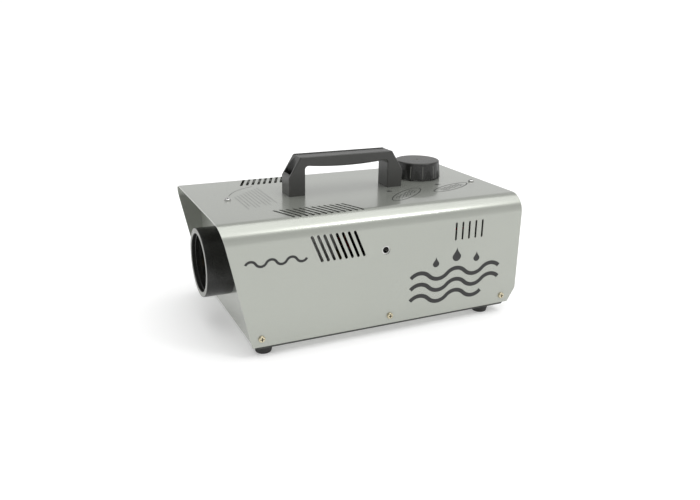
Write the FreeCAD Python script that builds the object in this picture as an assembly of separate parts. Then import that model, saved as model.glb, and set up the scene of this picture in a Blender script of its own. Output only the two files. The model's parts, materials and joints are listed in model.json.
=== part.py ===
import FreeCAD, Part
import math
import os

from FreeCAD import Vector

# Stage fog machine. +Z is up, the fog leaves towards -Y, and the origin is the middle of the
# footprint, on the surface that the feet stand on. Lengths are in millimetres.

X = Vector(1, 0, 0)
Y = Vector(0, 1, 0)
Z = Vector(0, 0, 1)

# ---- driving dimensions ------------------------------------------------------------------

GAP = 0.1                      # fitting gap between pressed or folded pieces
THREAD_GAP = 0.05              # radial gap drawn between a screw and its thread

COVER_WIDTH = 200.0
COVER_LENGTH = 341.6
COVER_HEIGHT = 124.9
COVER_SHEET = 1.0
COVER_BEND = 20.0              # outer bend radius
VISOR = 26.4                   # how far the top runs out past the foot of the sides
REAR_NOTCH_Y = 9.5
REAR_NOTCH_Z = 15.8

FOOT_HEIGHT = 8.5
FOOT_TOP_R = 10.0
FOOT_BOTTOM_R = 8.0
TRAY_SHOWS = 3.7               # height of the tray's bend that shows under the cover
TRAY_SHEET = 1.2
TRAY_BEND = 3.2
TRAY_FLANGE_TOP = 30.0
TRAY_TOP_FLANGE = 16.0

FLOOR_BOTTOM = FOOT_HEIGHT
FLOOR = FLOOR_BOTTOM + TRAY_SHEET
COVER_BOTTOM = FLOOR_BOTTOM + TRAY_SHOWS
TOP = COVER_BOTTOM + COVER_HEIGHT
CEILING = TOP - COVER_SHEET
FRONT = -COVER_LENGTH / 2
REAR = COVER_LENGTH / 2
SIDE = COVER_WIDTH / 2
SIDE_FRONT = FRONT + VISOR
FRONT_PANEL = -141.9           # outer face
REAR_PANEL = 159.1             # outer face
TRAY_HALF = SIDE - COVER_SHEET - GAP

SIDE_SCREW_Z = 21.0
SIDE_SCREW_Y = (-134.8, 7.6, 151.9)
TOP_SCREWS = ((0.0, -136.4), (22.0, 154.5))
SIDE_SCREW_SHANK = 1.75

SLOT_COUNT = 8                 # slanted slots in each side
SLOT_PITCH = 6.6
SLOT_WIDTH = 3.0
SLOT_TOP = (-81.3, 119.2)      # y, z of the first slot's upper end
SLOT_FOOT = (-70.5, 93.8)
REAR_SLOT_COUNT = 5            # upright slots in each side
REAR_SLOT_PITCH = 8.35
REAR_SLOT_WIDTH = 2.3
REAR_SLOT_Y = 85.2
REAR_SLOT_Z = (96.6, 114.4)
VENT_COUNT = 12                # slots in each of the two groups on the top
VENT_PITCH = 6.8
VENT_INNER = (56.5, -104.8)    # x, y of the first slot's inner end
VENT_OUTER = (83.0, -93.6)

BRACKET_Y = 0.8
BRACKET_Z = 95.4
BRACKET_HOLE = 4.65
BRACKET_THREAD = 3.4
BRACKET_NUT = 6.5

HANDLE_Y = -3.15
HANDLE_HALF = 68.75
HANDLE_WIDTH = 24.0
HANDLE_HEIGHT = 42.0
HANDLE_SHOULDER = 20.0
HANDLE_TOP_HALF = 55.2
HANDLE_LEG_IN = 50.0
HANDLE_GRIP_END = 32.5
HANDLE_GRIP_MID = 29.5
HANDLE_SCREW_IN = 8.0          # screw axis to the end of the handle
HANDLE_POCKET_R = 9.0
HANDLE_POCKET_FLOOR = 8.0

FILLER_X = -26.0
FILLER_Y = 107.1
CAP_R = 28.6
CAP_TOP_R = 26.6
CAP_BOTTOM = TOP + 1.2
CAP_HEIGHT = 19.8
CAP_BORE = 23.9
CAP_ROOF = 3.5
CAP_FLUTES = 12
NECK_CORE = 21.8
NECK_THREAD = 23.2
NECK_BORE = 19.0
NECK_PITCH = 4.0
SEAL_THICK = 1.6
NECK_TOP = CAP_BOTTOM + CAP_HEIGHT - CAP_ROOF - SEAL_THICK

SHROUD_Z = 72.0
SHROUD_R = 37.1
SHROUD_BORE = 31.3
OUTLET_R = 26.0                # hole in the front panel behind the shroud

BLOCK_HALF = 25.0
BLOCK_FRONT = -124.0
BLOCK_REAR = -36.0
SHELL_HALF = 38.0
SHELL_SHEET = 0.8
SHELL_FRONT = -134.0
SHELL_REAR = -28.0
CARTRIDGE_R = 5.0
CARTRIDGE_X = 14.0
CARTRIDGE_Z = SHROUD_Z - 12.0
PIPE_R = 3.0

TANK_X = (-84.0, 34.0)
TANK_Y = (64.0, 142.0)
TANK_Z = (12.7, 118.0)
TANK_WALL = 2.2
TANK_OUTLET_X = 22.0
TANK_OUTLET_Z = 28.0

PUMP_Y = 18.0
PUMP_Z = 40.0
PUMP_X = (-60.0, 0.0)
PUMP_BODY_R = 8.0
PUMP_BORE = 5.05
PLUNGER_X = (-38.0, -10.0)
PLUNGER_R = 5.0

BOARD_X = (52.0, 90.0)
BOARD_Y = (8.0, 100.0)
BOARD_Z = 16.0
BOARD_THICK = 1.6

INLET_X = 66.0
INLET_Z = 50.0
SWITCH_X = 66.0
SWITCH_Z = 92.0
SWITCH_TILT = 12.0
ROCKER_R = 8.1
ROCKER_PIVOT = 158.6
SOCKET_X = 14.0
SOCKET_Z = 46.0

PIPE_OUTER = 2.0               # delivery pipe
HOSE_OUTER = 3.4               # suction hose
WIRE_OUTER = 1.2

EARTH_X = 44.0
EARTH_Y = 126.0
BRACKET_SHEET = 1.2            # heater and pump brackets
TANK_ROUND = 8.0
HANDLE_RIM = 2.2
PIN_TIP = 157.5                # y of the inlet pins' tips
SOCKET_FLOOR = 145.0           # y of the inlet socket's floor
SOCKET_SHELL_BACK = 148.0      # y of the remote socket's rear
SWITCH_BACK = 143.0
FLUTE_R = 20.0
FLUTE_DEPTH = 1.15

FOOT_SCREW_HOLE = 2.1
FOOT_X = 85.0
FOOT_Y = (-128.7, 134.1)

STRAP_Y = (70.0, 80.0)
STRAP_SHEET = 1.0
STRAP_FOOT = 10.0

SHROUD_SCREW_ANGLES = (90, 210, 330)

NOZZLE_FRONT = -156.0
NOZZLE_REAR = -132.0
NOZZLE_SEAT = -140.0

HEATER_BRACKET_Y = ((-118.0, -104.0), (-58.0, -44.0))
HEATER_BRACKET_HALF = 28.0
HEATER_BRACKET_FOOT = 14.0

PUMP_BRACKET_X = (-56.6, -3.4)
PUMP_BRACKET_HALF = 14.0
PUMP_EAR = 23.0
BUSH_R = 11.0
YOKE_X = (-45.0, -15.0)
YOKE_PLATE = 3.0
COIL_HALF = 13.5

INLET_FLANGE = 3.0
INLET_BACK = 136.0
INLET_HALF_X = 14.0
INLET_HALF_Z = 15.5
SOCKET_MOUTH_Z = INLET_Z + 6.0
DRAWER_Z = INLET_Z - 9.5
DRAWER_HALF_X = 12.0
DRAWER_HALF_Z = 3.9
INLET_SCREW_X = 20.0
PANEL_SCREW_R = 1.5
DRAWER_BACK = 139.0
DRAWER_LIP = 1.2
SOCKET_PLATE = 1.2

FLOOR_SCREW_HOLE = 1.8

PIPE_ROUTE = (
    (-69.0, 18.0, 40.0),
    (-82.0, 18.0, 40.0),
    (-90.0, 15.0, 53.0),
    (-87.0, 8.0, 70.0),
    (-70.0, 3.0, 83.0),
    (-44.0, 4.0, 88.0),
    (-18.0, 8.0, 84.0),
    (-3.0, 4.0, 76.0),
    (0.0, -7.0, 72.0),
    (0.0, -16.0, 72.0),
)

HOSE_ROUTE = (
    (3.0, 18.0, 40.0),
    (18.0, 18.5, 39.5),
    (27.0, 26.0, 36.0),
    (25.0, 40.0, 31.0),
    (22.0, 52.0, 28.0),
    (22.0, 60.0, 28.0),
)

RED_ROUTE = (
    (66.0, 133.0, 97.0),
    (70.0, 124.0, 98.5),
    (82.0, 112.0, 101.5),
    (90.0, 94.0, 105.5),
    (90.0, 74.0, 101.0),
    (86.0, 52.0, 84.0),
    (74.0, 34.0, 62.0),
    (54.0, 16.0, 54.0),
    (34.0, 2.0, 62.0),
    (20.0, -3.0, 74.0),
    (16.5, -8.0, 83.0),
    (16.0, -13.0, 85.0),
    (16.0, -20.0, 85.0),
)

BLUE_ROUTE = (
    (61.0, 13.0, 20.5),
    (60.0, 2.0, 21.0),
    (52.0, -8.0, 26.0),
    (36.0, -12.0, 40.0),
    (20.0, -9.0, 54.0),
    (16.0, -17.0, 60.0),
    (16.0, -24.0, 60.0),
)

EARTH_ROUTE = (
    (66.0, 128.0, 59.0),
    (66.0, 118.0, 59.0),
    (59.0, 112.0, 47.0),
    (53.0, 114.0, 32.0),
    (52.0, 121.0, 20.0),
    (49.4, 126.0, 13.4),
)


# ---- shared shapes -----------------------------------------------------------------------

def box(x, y, z):
    """A block between the low and high value of each axis."""
    return Part.makeBox(x[1] - x[0], y[1] - y[0], z[1] - z[0], Vector(x[0], y[0], z[0]))


def rod(start, direction, radius, length):
    return Part.makeCylinder(radius, length, Vector(*start), direction)


def ring(start, direction, outer, inner, length):
    return rod(start, direction, outer, length).cut(rod(start, direction, inner, length))


def prism(points, sweep):
    """A closed outline of points, swept along a vector."""
    corners = [Vector(*point) for point in points]
    return Part.Face(Part.makePolygon(corners + corners[:1])).extrude(sweep)


def hexagon(start, direction, across_flats, length):
    """A hexagonal bar whose axis starts at a point."""
    radius = across_flats / math.sqrt(3)
    corners = []
    for i in range(6):
        angle = math.radians(60 * i)
        corners.append((radius * math.cos(angle), radius * math.sin(angle), 0))
    return aimed(prism(corners, Z * length), start, direction)


def aimed(shape, place, direction):
    """Turn a shape from +Z to a direction and move it to its place."""
    turned = shape.copy()
    turned.Placement = FreeCAD.Placement(Vector(*place), FreeCAD.Rotation(Z, direction))
    return turned


def fuse(shapes):
    return shapes[0].multiFuse(list(shapes[1:])).removeSplitter() if len(shapes) > 1 else shapes[0]


def round_edges(shape, radius, wanted):
    """Fillet the edges that a test picks."""
    return shape.makeFillet(radius, [edge for edge in shape.Edges if wanted(edge)])


def along(edge, axis):
    """Whether a straight edge runs along an axis."""
    if not isinstance(edge.Curve, Part.Line):
        return False
    return abs(edge.Curve.Direction.dot(axis)) > 0.999


def slot(start, end, width, sweep):
    """A round-ended slot between two points, swept along a vector square to both."""
    start = Vector(*start)
    end = Vector(*end)
    across = (end - start).cross(sweep).normalize() * (width / 2)
    onward = (end - start).normalize() * (width / 2)
    edges = [
        Part.LineSegment(start + across, end + across).toShape(),
        Part.Arc(end + across, end + onward, end - across).toShape(),
        Part.LineSegment(end - across, start - across).toShape(),
        Part.Arc(start - across, start - onward, start + across).toShape(),
    ]
    return Part.Face(Part.Wire(edges)).extrude(sweep)


def pan_screw(head_r, head_h, shank_r, shank_length):
    """A cross-recess pan head screw: its head sits on z = 0 and its shank points down."""
    head = Part.makeCylinder(head_r, head_h)
    head = round_edges(head, head_h * 0.6, lambda edge: edge.BoundBox.ZMin > head_h / 2 and edge.Closed)
    arm = head_r * 0.62
    blade = head_r * 0.13
    for turn in (0, 90):
        cross = Part.makeBox(2 * arm, 2 * blade, head_h, Vector(-arm, -blade, head_h * 0.35))
        cross.rotate(Vector(0, 0, 0), Z, turn)
        head = head.cut(cross)
    shank = Part.makeCylinder(shank_r, shank_length, Vector(0, 0, -shank_length))
    return head.fuse(shank).removeSplitter()


def bent_tube(points, radius):
    """A round tube along straight runs, joined by arcs as large as the runs allow."""
    route = [Vector(*point) for point in points]
    edges = []
    here = route[0]
    for i in range(1, len(route) - 1):
        before = route[i] - route[i - 1]
        after = route[i + 1] - route[i]
        turn = before.getAngle(after)
        trim = 0.45 * min(before.Length, after.Length)
        start = route[i] - before.normalize() * trim
        end = route[i] + after.normalize() * trim
        bend = trim / math.tan(turn / 2)
        inward = (after - before).normalize()
        middle = route[i] + inward * (bend / math.cos(turn / 2) - bend)
        edges.append(Part.LineSegment(here, start).toShape())
        edges.append(Part.Arc(start, middle, end).toShape())
        here = end
    edges.append(Part.LineSegment(here, route[-1]).toShape())
    spine = Part.Wire(edges)
    circle = Part.makeCircle(radius, route[0], route[1] - route[0])
    return spine.makePipeShell([Part.Wire([circle])], True, False)


def both_sides(shape):
    """The shape and its mirror image across the middle plane."""
    return [shape, shape.mirror(Vector(0, 0, 0), X)]


# ---- case --------------------------------------------------------------------------------

def folded_section(half, top, bottom, bend):
    """The upside-down U outline of the cover, closed along its foot."""
    corner = bend * (1 - math.sqrt(0.5))
    edges = [
        Part.LineSegment(Vector(-half, 0, bottom), Vector(-half, 0, top - bend)).toShape(),
        Part.Arc(Vector(-half, 0, top - bend), Vector(-half + corner, 0, top - corner),
                 Vector(-half + bend, 0, top)).toShape(),
        Part.LineSegment(Vector(-half + bend, 0, top), Vector(half - bend, 0, top)).toShape(),
        Part.Arc(Vector(half - bend, 0, top), Vector(half - corner, 0, top - corner),
                 Vector(half, 0, top - bend)).toShape(),
        Part.LineSegment(Vector(half, 0, top - bend), Vector(half, 0, bottom)).toShape(),
        Part.LineSegment(Vector(half, 0, bottom), Vector(-half, 0, bottom)).toShape(),
    ]
    return Part.Face(Part.Wire(edges))


def side_slots():
    """Cutters for everything that is punched through both side walls."""
    sweep = X * (COVER_WIDTH + 20)
    left = -SIDE - 10
    cutters = []
    for i in range(SLOT_COUNT):
        step = i * SLOT_PITCH
        start = (left, SLOT_TOP[0] + step, SLOT_TOP[1])
        end = (left, SLOT_FOOT[0] + step, SLOT_FOOT[1])
        cutters.append(slot(start, end, SLOT_WIDTH, sweep))
    for i in range(REAR_SLOT_COUNT):
        y = REAR_SLOT_Y + i * REAR_SLOT_PITCH
        cutters.append(slot((left, y, REAR_SLOT_Z[0]), (left, y, REAR_SLOT_Z[1]), REAR_SLOT_WIDTH, sweep))
    cutters.append(rod((left, BRACKET_Y, BRACKET_Z), X, BRACKET_HOLE, COVER_WIDTH + 20))
    for y in SIDE_SCREW_Y:
        cutters.append(rod((left, y, SIDE_SCREW_Z), X, SIDE_SCREW_SHANK + 0.25, COVER_WIDTH + 20))
    return cutters


def top_slots():
    """Cutters for everything that is punched through the top."""
    sweep = Z * 10
    low = CEILING - 5
    cutters = []
    for side in (-1, 1):
        for i in range(VENT_COUNT):
            step = i * VENT_PITCH
            start = (side * VENT_INNER[0], VENT_INNER[1] + step, low)
            end = (side * VENT_OUTER[0], VENT_OUTER[1] + step, low)
            cutters.append(slot(start, end, SLOT_WIDTH, sweep))
    for x, y in TOP_SCREWS:
        cutters.append(rod((x, y, low), Z, SIDE_SCREW_SHANK + 0.25, 10))
    cutters.append(rod((FILLER_X, FILLER_Y, low), Z, OUTLET_R, 10))
    for y in handle_screw_places():
        cutters.append(rod((0, y, low), Z, 2.3, 10))
    return cutters


def cover():
    outer = folded_section(SIDE, TOP, COVER_BOTTOM, COVER_BEND)
    inner = folded_section(SIDE - COVER_SHEET, CEILING, COVER_BOTTOM - 1, COVER_BEND - COVER_SHEET)
    shape = outer.extrude(Y * COVER_LENGTH).cut(inner.extrude(Y * COVER_LENGTH))
    shape.translate(Y * FRONT)
    lean = VISOR / COVER_HEIGHT
    margin = 5
    visor = prism([
        (-SIDE - margin, FRONT - margin, COVER_BOTTOM - margin),
        (-SIDE - margin, SIDE_FRONT + margin * lean, COVER_BOTTOM - margin),
        (-SIDE - margin, FRONT - margin * lean, TOP + margin),
        (-SIDE - margin, FRONT - margin, TOP + margin),
    ], X * (COVER_WIDTH + 2 * margin))
    notch = prism([
        (-SIDE - margin, REAR - REAR_NOTCH_Y, COVER_BOTTOM),
        (-SIDE - margin, REAR, COVER_BOTTOM + REAR_NOTCH_Z),
        (-SIDE - margin, REAR + margin, COVER_BOTTOM + REAR_NOTCH_Z),
        (-SIDE - margin, REAR + margin, COVER_BOTTOM - margin),
        (-SIDE - margin, REAR - REAR_NOTCH_Y, COVER_BOTTOM - margin),
    ], X * (COVER_WIDTH + 2 * margin))
    return shape.cut([visor, notch] + side_slots() + top_slots())


def chassis_ends():
    """Floor, front panel and rear panel: one sheet with flanges turned in at the top."""
    top = CEILING - GAP
    outer = box((-TRAY_HALF, TRAY_HALF), (FRONT_PANEL, REAR_PANEL), (FLOOR_BOTTOM, top))
    outer = round_edges(outer, TRAY_BEND, lambda edge: along(edge, X))
    inner = box((-SIDE, SIDE), (FRONT_PANEL + TRAY_SHEET, REAR_PANEL - TRAY_SHEET), (FLOOR, top - TRAY_SHEET))
    inner = round_edges(inner, TRAY_BEND - TRAY_SHEET, lambda edge: along(edge, X))
    mouth = box((-SIDE, SIDE), (FRONT_PANEL + TRAY_TOP_FLANGE, REAR_PANEL - TRAY_TOP_FLANGE),
                (top - 5, top + 5))
    outline = folded_section(TRAY_HALF, CEILING - GAP, FLOOR_BOTTOM, COVER_BEND - COVER_SHEET - GAP)
    outline = outline.extrude(Y * 2 * COVER_LENGTH)
    outline.translate(Y * -COVER_LENGTH)
    shape = outer.cut([inner, mouth]).common(outline)
    flat = TRAY_HALF - TRAY_BEND
    trims = []
    for low, high in ((-SIDE, -flat), (flat, SIDE)):
        trims.append(box((low, high), (FRONT_PANEL - 1, REAR_PANEL + 1),
                         (FLOOR_BOTTOM - 1, FLOOR_BOTTOM + TRAY_BEND)))
    for side in (-1, 1):
        edge = COVER_BEND + 4
        low, high = sorted((side * (SIDE - edge), side * SIDE))
        trims.append(box((low, high), (FRONT_PANEL + TRAY_BEND, REAR_PANEL - TRAY_BEND), (top - 8, top + 1)))
    return shape.cut(trims)


def chassis_flange():
    """The turned-up edge of the floor on the +X side."""
    start = FRONT_PANEL + TRAY_BEND + 1
    end = REAR_PANEL - TRAY_BEND - 1
    flat = TRAY_HALF - TRAY_BEND
    outer = box((0, TRAY_HALF), (start, end), (FLOOR_BOTTOM, TRAY_FLANGE_TOP))
    inner = box((-1, TRAY_HALF - TRAY_SHEET), (start, end), (FLOOR, TRAY_FLANGE_TOP + 1))
    outer = round_edges(outer, TRAY_BEND,
                        lambda e: along(e, Y) and e.BoundBox.XMin > 1 and e.BoundBox.ZMax < FLOOR)
    inner = round_edges(inner, TRAY_BEND - TRAY_SHEET,
                        lambda e: along(e, Y) and e.BoundBox.XMin > 1 and e.BoundBox.ZMax < FLOOR + 1)
    keep = box((flat - 1, TRAY_HALF + 1), (start, end), (0, TRAY_FLANGE_TOP))
    return outer.cut(inner).common(keep)


def chassis():
    shape = fuse([chassis_ends()] + both_sides(chassis_flange()))
    holes = [rod((0, FRONT_PANEL - 1, SHROUD_Z), Y, OUTLET_R, 5)]
    for x, y in TOP_SCREWS:
        holes.append(rod((x, y, CEILING - 5), Z, SIDE_SCREW_SHANK + THREAD_GAP, 10))
    for y in SIDE_SCREW_Y:
        holes.append(rod((-SIDE, y, SIDE_SCREW_Z), X, SIDE_SCREW_SHANK + 0.25, COVER_WIDTH))
    for x, y in foot_places():
        holes.append(rod((x, y, 0), Z, FOOT_SCREW_HOLE, FLOOR + 5))
    for x, y in floor_screw_places():
        holes.append(rod((x, y, 0), Z, FLOOR_SCREW_HOLE, FLOOR + 5))
    for angle in SHROUD_SCREW_ANGLES:
        x, z = shroud_screw_place(angle)
        holes.append(rod((x, FRONT_PANEL - 1, z), Y, 1.6, 5))
    holes.extend(rear_panel_cutouts())
    return shape.cut(holes)


def cover_side_screws():
    screws = []
    for y in SIDE_SCREW_Y:
        screw = pan_screw(3.4, 2.2, SIDE_SCREW_SHANK, 11)
        screws.append(aimed(screw, (SIDE, y, SIDE_SCREW_Z), X))
        screws.append(aimed(screw, (-SIDE, y, SIDE_SCREW_Z), X * -1))
    return screws


def cover_side_nuts():
    """Clinch nuts on the inside of the chassis flanges."""
    face = TRAY_HALF - TRAY_SHEET
    nuts = []
    for y in SIDE_SCREW_Y:
        nut = ring((face - 5, y, SIDE_SCREW_Z), X, 3.6, SIDE_SCREW_SHANK + THREAD_GAP, 5)
        nuts.extend(both_sides(nut))
    return nuts


def cover_top_screws():
    screw = pan_screw(3.4, 2.2, SIDE_SCREW_SHANK, 9)
    return [aimed(screw, (x, y, TOP), Z) for x, y in TOP_SCREWS]


def bracket_nuts():
    """Welded nuts inside the cover, which take the two bolts of a hanging bracket."""
    start = (SIDE - COVER_SHEET - BRACKET_NUT, BRACKET_Y, BRACKET_Z)
    nut = hexagon(start, X, 13.0, BRACKET_NUT).cut(rod(start, X, BRACKET_THREAD, BRACKET_NUT))
    return both_sides(nut)


def foot_places():
    return [(side * FOOT_X, y) for side in (-1, 1) for y in FOOT_Y]


def rubber_feet():
    foot = Part.makeCone(FOOT_BOTTOM_R, FOOT_TOP_R, FOOT_HEIGHT)
    foot = round_edges(foot, 1.5, lambda edge: edge.BoundBox.ZMax < 1 and edge.Closed)
    foot = foot.cut([rod((0, 0, 0), Z, 4.4, 4), rod((0, 0, 0), Z, FOOT_SCREW_HOLE, FOOT_HEIGHT)])
    feet = []
    for x, y in foot_places():
        feet.append(aimed(foot, (x, y, 0), Z))
    return feet


def feet_screws():
    screw = pan_screw(3.8, 2.4, FOOT_SCREW_HOLE - THREAD_GAP, 8.2)
    return [aimed(screw, (x, y, 4), Z * -1) for x, y in foot_places()]


def feet_nuts():
    nuts = []
    for x, y in foot_places():
        nut = hexagon((x, y, FLOOR), Z, 7.0, 2.4)
        nuts.append(nut.cut(rod((x, y, FLOOR), Z, FOOT_SCREW_HOLE, 3)))
    return nuts


# ---- handle ------------------------------------------------------------------------------

def handle_screw_places():
    reach = HANDLE_HALF - HANDLE_SCREW_IN
    return [HANDLE_Y - reach, HANDLE_Y + reach]


def handle_outline():
    """The handle seen from the side, with a grip that swells downwards in the middle."""
    leg = HANDLE_LEG_IN
    end = HANDLE_GRIP_END
    tip = HANDLE_TOP_HALF

    def at(y, z):
        return Vector(-HANDLE_WIDTH / 2, y, z)

    edges = [
        Part.Arc(at(-leg, end), at(0, HANDLE_GRIP_MID), at(leg, end)).toShape(),
        Part.LineSegment(at(-tip, HANDLE_HEIGHT), at(tip, HANDLE_HEIGHT)).toShape(),
    ]
    for side in (-1, 1):
        outer = side * HANDLE_HALF
        inner = side * leg
        edges.append(Part.LineSegment(at(outer, 0), at(outer, HANDLE_SHOULDER)).toShape())
        edges.append(Part.LineSegment(at(outer, HANDLE_SHOULDER), at(side * tip, HANDLE_HEIGHT)).toShape())
        edges.append(Part.LineSegment(at(outer, 0), at(inner, 0)).toShape())
        edges.append(Part.LineSegment(at(inner, 0), at(inner, end)).toShape())
    solid = Part.Face(Part.Wire(Part.__sortEdges__(edges))).extrude(X * HANDLE_WIDTH)
    solid = round_edges(solid, 4.0, lambda e: along(e, X) and abs(e.BoundBox.ZMin - end) < 0.01)
    return round_edges(solid, 2.5, lambda e: along(e, X) and e.BoundBox.ZMin > HANDLE_HEIGHT - 1)


def carry_handle():
    solid = handle_outline()
    half = HANDLE_WIDTH / 2
    solid = round_edges(solid, 1.4,
                        lambda e: abs(abs(e.CenterOfMass.x) - half) < 0.01 and e.BoundBox.ZMax > 1)
    rim = HANDLE_RIM
    cutters = [box((-half + rim + 0.4, half - rim - 0.4), (-HANDLE_TOP_HALF - 1, HANDLE_TOP_HALF + 1),
                   (HANDLE_HEIGHT - 0.7, HANDLE_HEIGHT + 1))]
    height = HANDLE_HEIGHT - HANDLE_POCKET_FLOOR + 1
    for side in (-1, 1):
        screw = side * (HANDLE_HALF - HANDLE_SCREW_IN)
        pocket = rod((0, screw + side * 4.5, HANDLE_POCKET_FLOOR), Z, HANDLE_POCKET_R, height)
        keep = box((-half, half), sorted((0, side * (HANDLE_HALF - rim))), (0, HANDLE_HEIGHT + 1))
        cutters.append(pocket.common(keep))
        cutters.append(rod((0, screw, -1), Z, 2.3, 20))
    solid = solid.cut(cutters)
    solid.translate(Vector(0, HANDLE_Y, TOP))
    return solid


def handle_screws():
    screw = pan_screw(4.0, 2.6, 2.2, 17.0)
    return [aimed(screw, (0, y, TOP + HANDLE_POCKET_FLOOR), Z) for y in handle_screw_places()]


def handle_nuts():
    nuts = []
    for y in handle_screw_places():
        nut = hexagon((0, y, CEILING - 4.2), Z, 8.0, 3.4)
        washer = rod((0, y, CEILING - 0.8), Z, 6.0, 0.8)
        nuts.append(nut.fuse(washer).cut(rod((0, y, CEILING - 5), Z, 2.25, 6)).removeSplitter())
    return nuts


# ---- filler cap and tank -----------------------------------------------------------------

def filler_cap():
    """A fluted cap with a vent hole, hollow from below."""
    body = Part.makeCone(CAP_R, CAP_TOP_R, CAP_HEIGHT)
    body = round_edges(body, 2.0, lambda edge: edge.BoundBox.ZMin > 1 and edge.Closed)
    flutes = []
    for i in range(CAP_FLUTES):
        angle = math.radians(360 / CAP_FLUTES * i)
        reach = CAP_R + FLUTE_R - FLUTE_DEPTH
        place = (reach * math.cos(angle), reach * math.sin(angle), -1)
        flutes.append(rod(place, Z, FLUTE_R, CAP_HEIGHT - 1.5))
    bore = rod((0, 0, -1), Z, CAP_BORE, CAP_HEIGHT - CAP_ROOF + 1)
    vent = rod((0, 0, 0), Z, 1.0, CAP_HEIGHT + 1)
    body = body.cut(flutes + [bore, vent])
    body.translate(Vector(FILLER_X, FILLER_Y, CAP_BOTTOM))
    return body


def cap_seal():
    return ring((FILLER_X, FILLER_Y, NECK_TOP), Z, CAP_BORE - 0.4, NECK_BORE - 0.5, SEAL_THICK)


def neck_thread():
    """The raised thread on the tank's neck."""
    turns = 2.5
    base = NECK_TOP - 1.6 - turns * NECK_PITCH
    helix = Part.makeHelix(NECK_PITCH, turns * NECK_PITCH, NECK_CORE)
    root = NECK_CORE - 0.4
    section = Part.makePolygon([
        Vector(root, 0, -1.1),
        Vector(NECK_THREAD, 0, -0.4),
        Vector(NECK_THREAD, 0, 0.4),
        Vector(root, 0, 1.1),
        Vector(root, 0, -1.1),
    ])
    ridge = Part.Wire(helix).makePipeShell([section], True, True)
    ridge.translate(Vector(FILLER_X, FILLER_Y, base))
    return ridge


def fluid_tank():
    outer = box(TANK_X, TANK_Y, TANK_Z)
    outer = round_edges(outer, TANK_ROUND, lambda edge: True)
    wall = TANK_WALL
    inner = box((TANK_X[0] + wall, TANK_X[1] - wall), (TANK_Y[0] + wall, TANK_Y[1] - wall),
                (TANK_Z[0] + wall, TANK_Z[1] - wall))
    inner = round_edges(inner, TANK_ROUND - wall, lambda edge: True)
    neck = rod((FILLER_X, FILLER_Y, TANK_Z[1] - 1), Z, NECK_CORE, NECK_TOP - TANK_Z[1] + 1)
    bore = rod((FILLER_X, FILLER_Y, TANK_Z[1] - 5), Z, NECK_BORE, NECK_TOP)
    outlet = rod((TANK_OUTLET_X, TANK_Y[0] - 1, TANK_OUTLET_Z), Y, 4.0, 10)
    return outer.fuse([neck, neck_thread()]).cut([inner, bore, outlet])


def tank_pad():
    return box((TANK_X[0] + 8, TANK_X[1] - 8), (TANK_Y[0] + 4, TANK_Y[1] - 12), (FLOOR, TANK_Z[0]))


def tank_strap():
    left = TANK_X[0] - GAP - STRAP_SHEET
    right = TANK_X[1] + GAP + STRAP_SHEET
    top = TANK_Z[1] + GAP + STRAP_SHEET
    band = box((left, right), STRAP_Y, (FLOOR, top))
    band = round_edges(band, 9.0, lambda e: along(e, Y) and e.BoundBox.ZMin > FLOOR + 1)
    hollow = box((left + STRAP_SHEET, right - STRAP_SHEET), STRAP_Y, (FLOOR - 1, top - STRAP_SHEET))
    hollow = round_edges(hollow, 8.0, lambda e: along(e, Y) and e.BoundBox.ZMin > FLOOR + 1)
    feet = [
        box((left - STRAP_FOOT, left + STRAP_SHEET), STRAP_Y, (FLOOR, FLOOR + STRAP_SHEET)),
        box((right - STRAP_SHEET, right + STRAP_FOOT), STRAP_Y, (FLOOR, FLOOR + STRAP_SHEET)),
    ]
    shape = fuse([band.cut(hollow)] + feet)
    return shape.cut([rod((x, y, 0), Z, FLOOR_SCREW_HOLE + 0.2, FLOOR + 5) for x, y in strap_screw_places()])


def strap_screw_places():
    middle = (STRAP_Y[0] + STRAP_Y[1]) / 2
    return [(TANK_X[0] - STRAP_SHEET - 5.0, middle), (TANK_X[1] + STRAP_SHEET + 5.0, middle)]


def tank_outlet():
    """The straight hose outlet with its flange, in the tank's front wall."""
    place = (TANK_OUTLET_X, TANK_Y[0], TANK_OUTLET_Z)
    flange = rod((place[0], place[1] - 3, place[2]), Y, 7.0, 3)
    barb = rod((place[0], place[1] - 12, place[2]), Y, HOSE_OUTER - 1.3, 12)
    shank = rod((place[0], place[1] - 1, place[2]), Y, 3.95, TANK_WALL + 4)
    bore = rod((place[0], place[1] - 13, place[2]), Y, 1.2, 30)
    return fuse([flange, barb, shank]).cut(bore)


def intake_filter():
    """A capped strainer on the inside of the outlet."""
    start = (TANK_OUTLET_X, TANK_Y[0] + TANK_WALL + 3.0, TANK_OUTLET_Z)
    outer = rod(start, Y, 6.0, 20)
    hollow = rod(start, Y, 4.8, 18.5)
    windows = []
    for i in range(6):
        angle = 60 * i
        window = box((-1.6, 1.6), (start[1] + 4, start[1] + 17), (2, 8))
        window.rotate(Vector(0, 0, 0), Y, angle)
        window.translate(Vector(start[0], 0, start[2]))
        windows.append(window)
    return outer.cut([hollow] + windows)


# ---- fog outlet and heater ---------------------------------------------------------------

def shroud_screw_place(angle):
    middle = (SHROUD_R + SHROUD_BORE) / 2
    turn = math.radians(angle)
    return middle * math.cos(turn), SHROUD_Z + middle * math.sin(turn)


def nozzle_shroud():
    tube = ring((0, FRONT, SHROUD_Z), Y, SHROUD_R, SHROUD_BORE, FRONT_PANEL - FRONT)
    tube = round_edges(tube, 0.8, lambda edge: edge.Closed and edge.BoundBox.YMax < FRONT + 0.1)
    holes = []
    for angle in SHROUD_SCREW_ANGLES:
        x, z = shroud_screw_place(angle)
        holes.append(rod((x, FRONT_PANEL - 8, z), Y, 1.3, 9))
    return tube.cut(holes)


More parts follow.
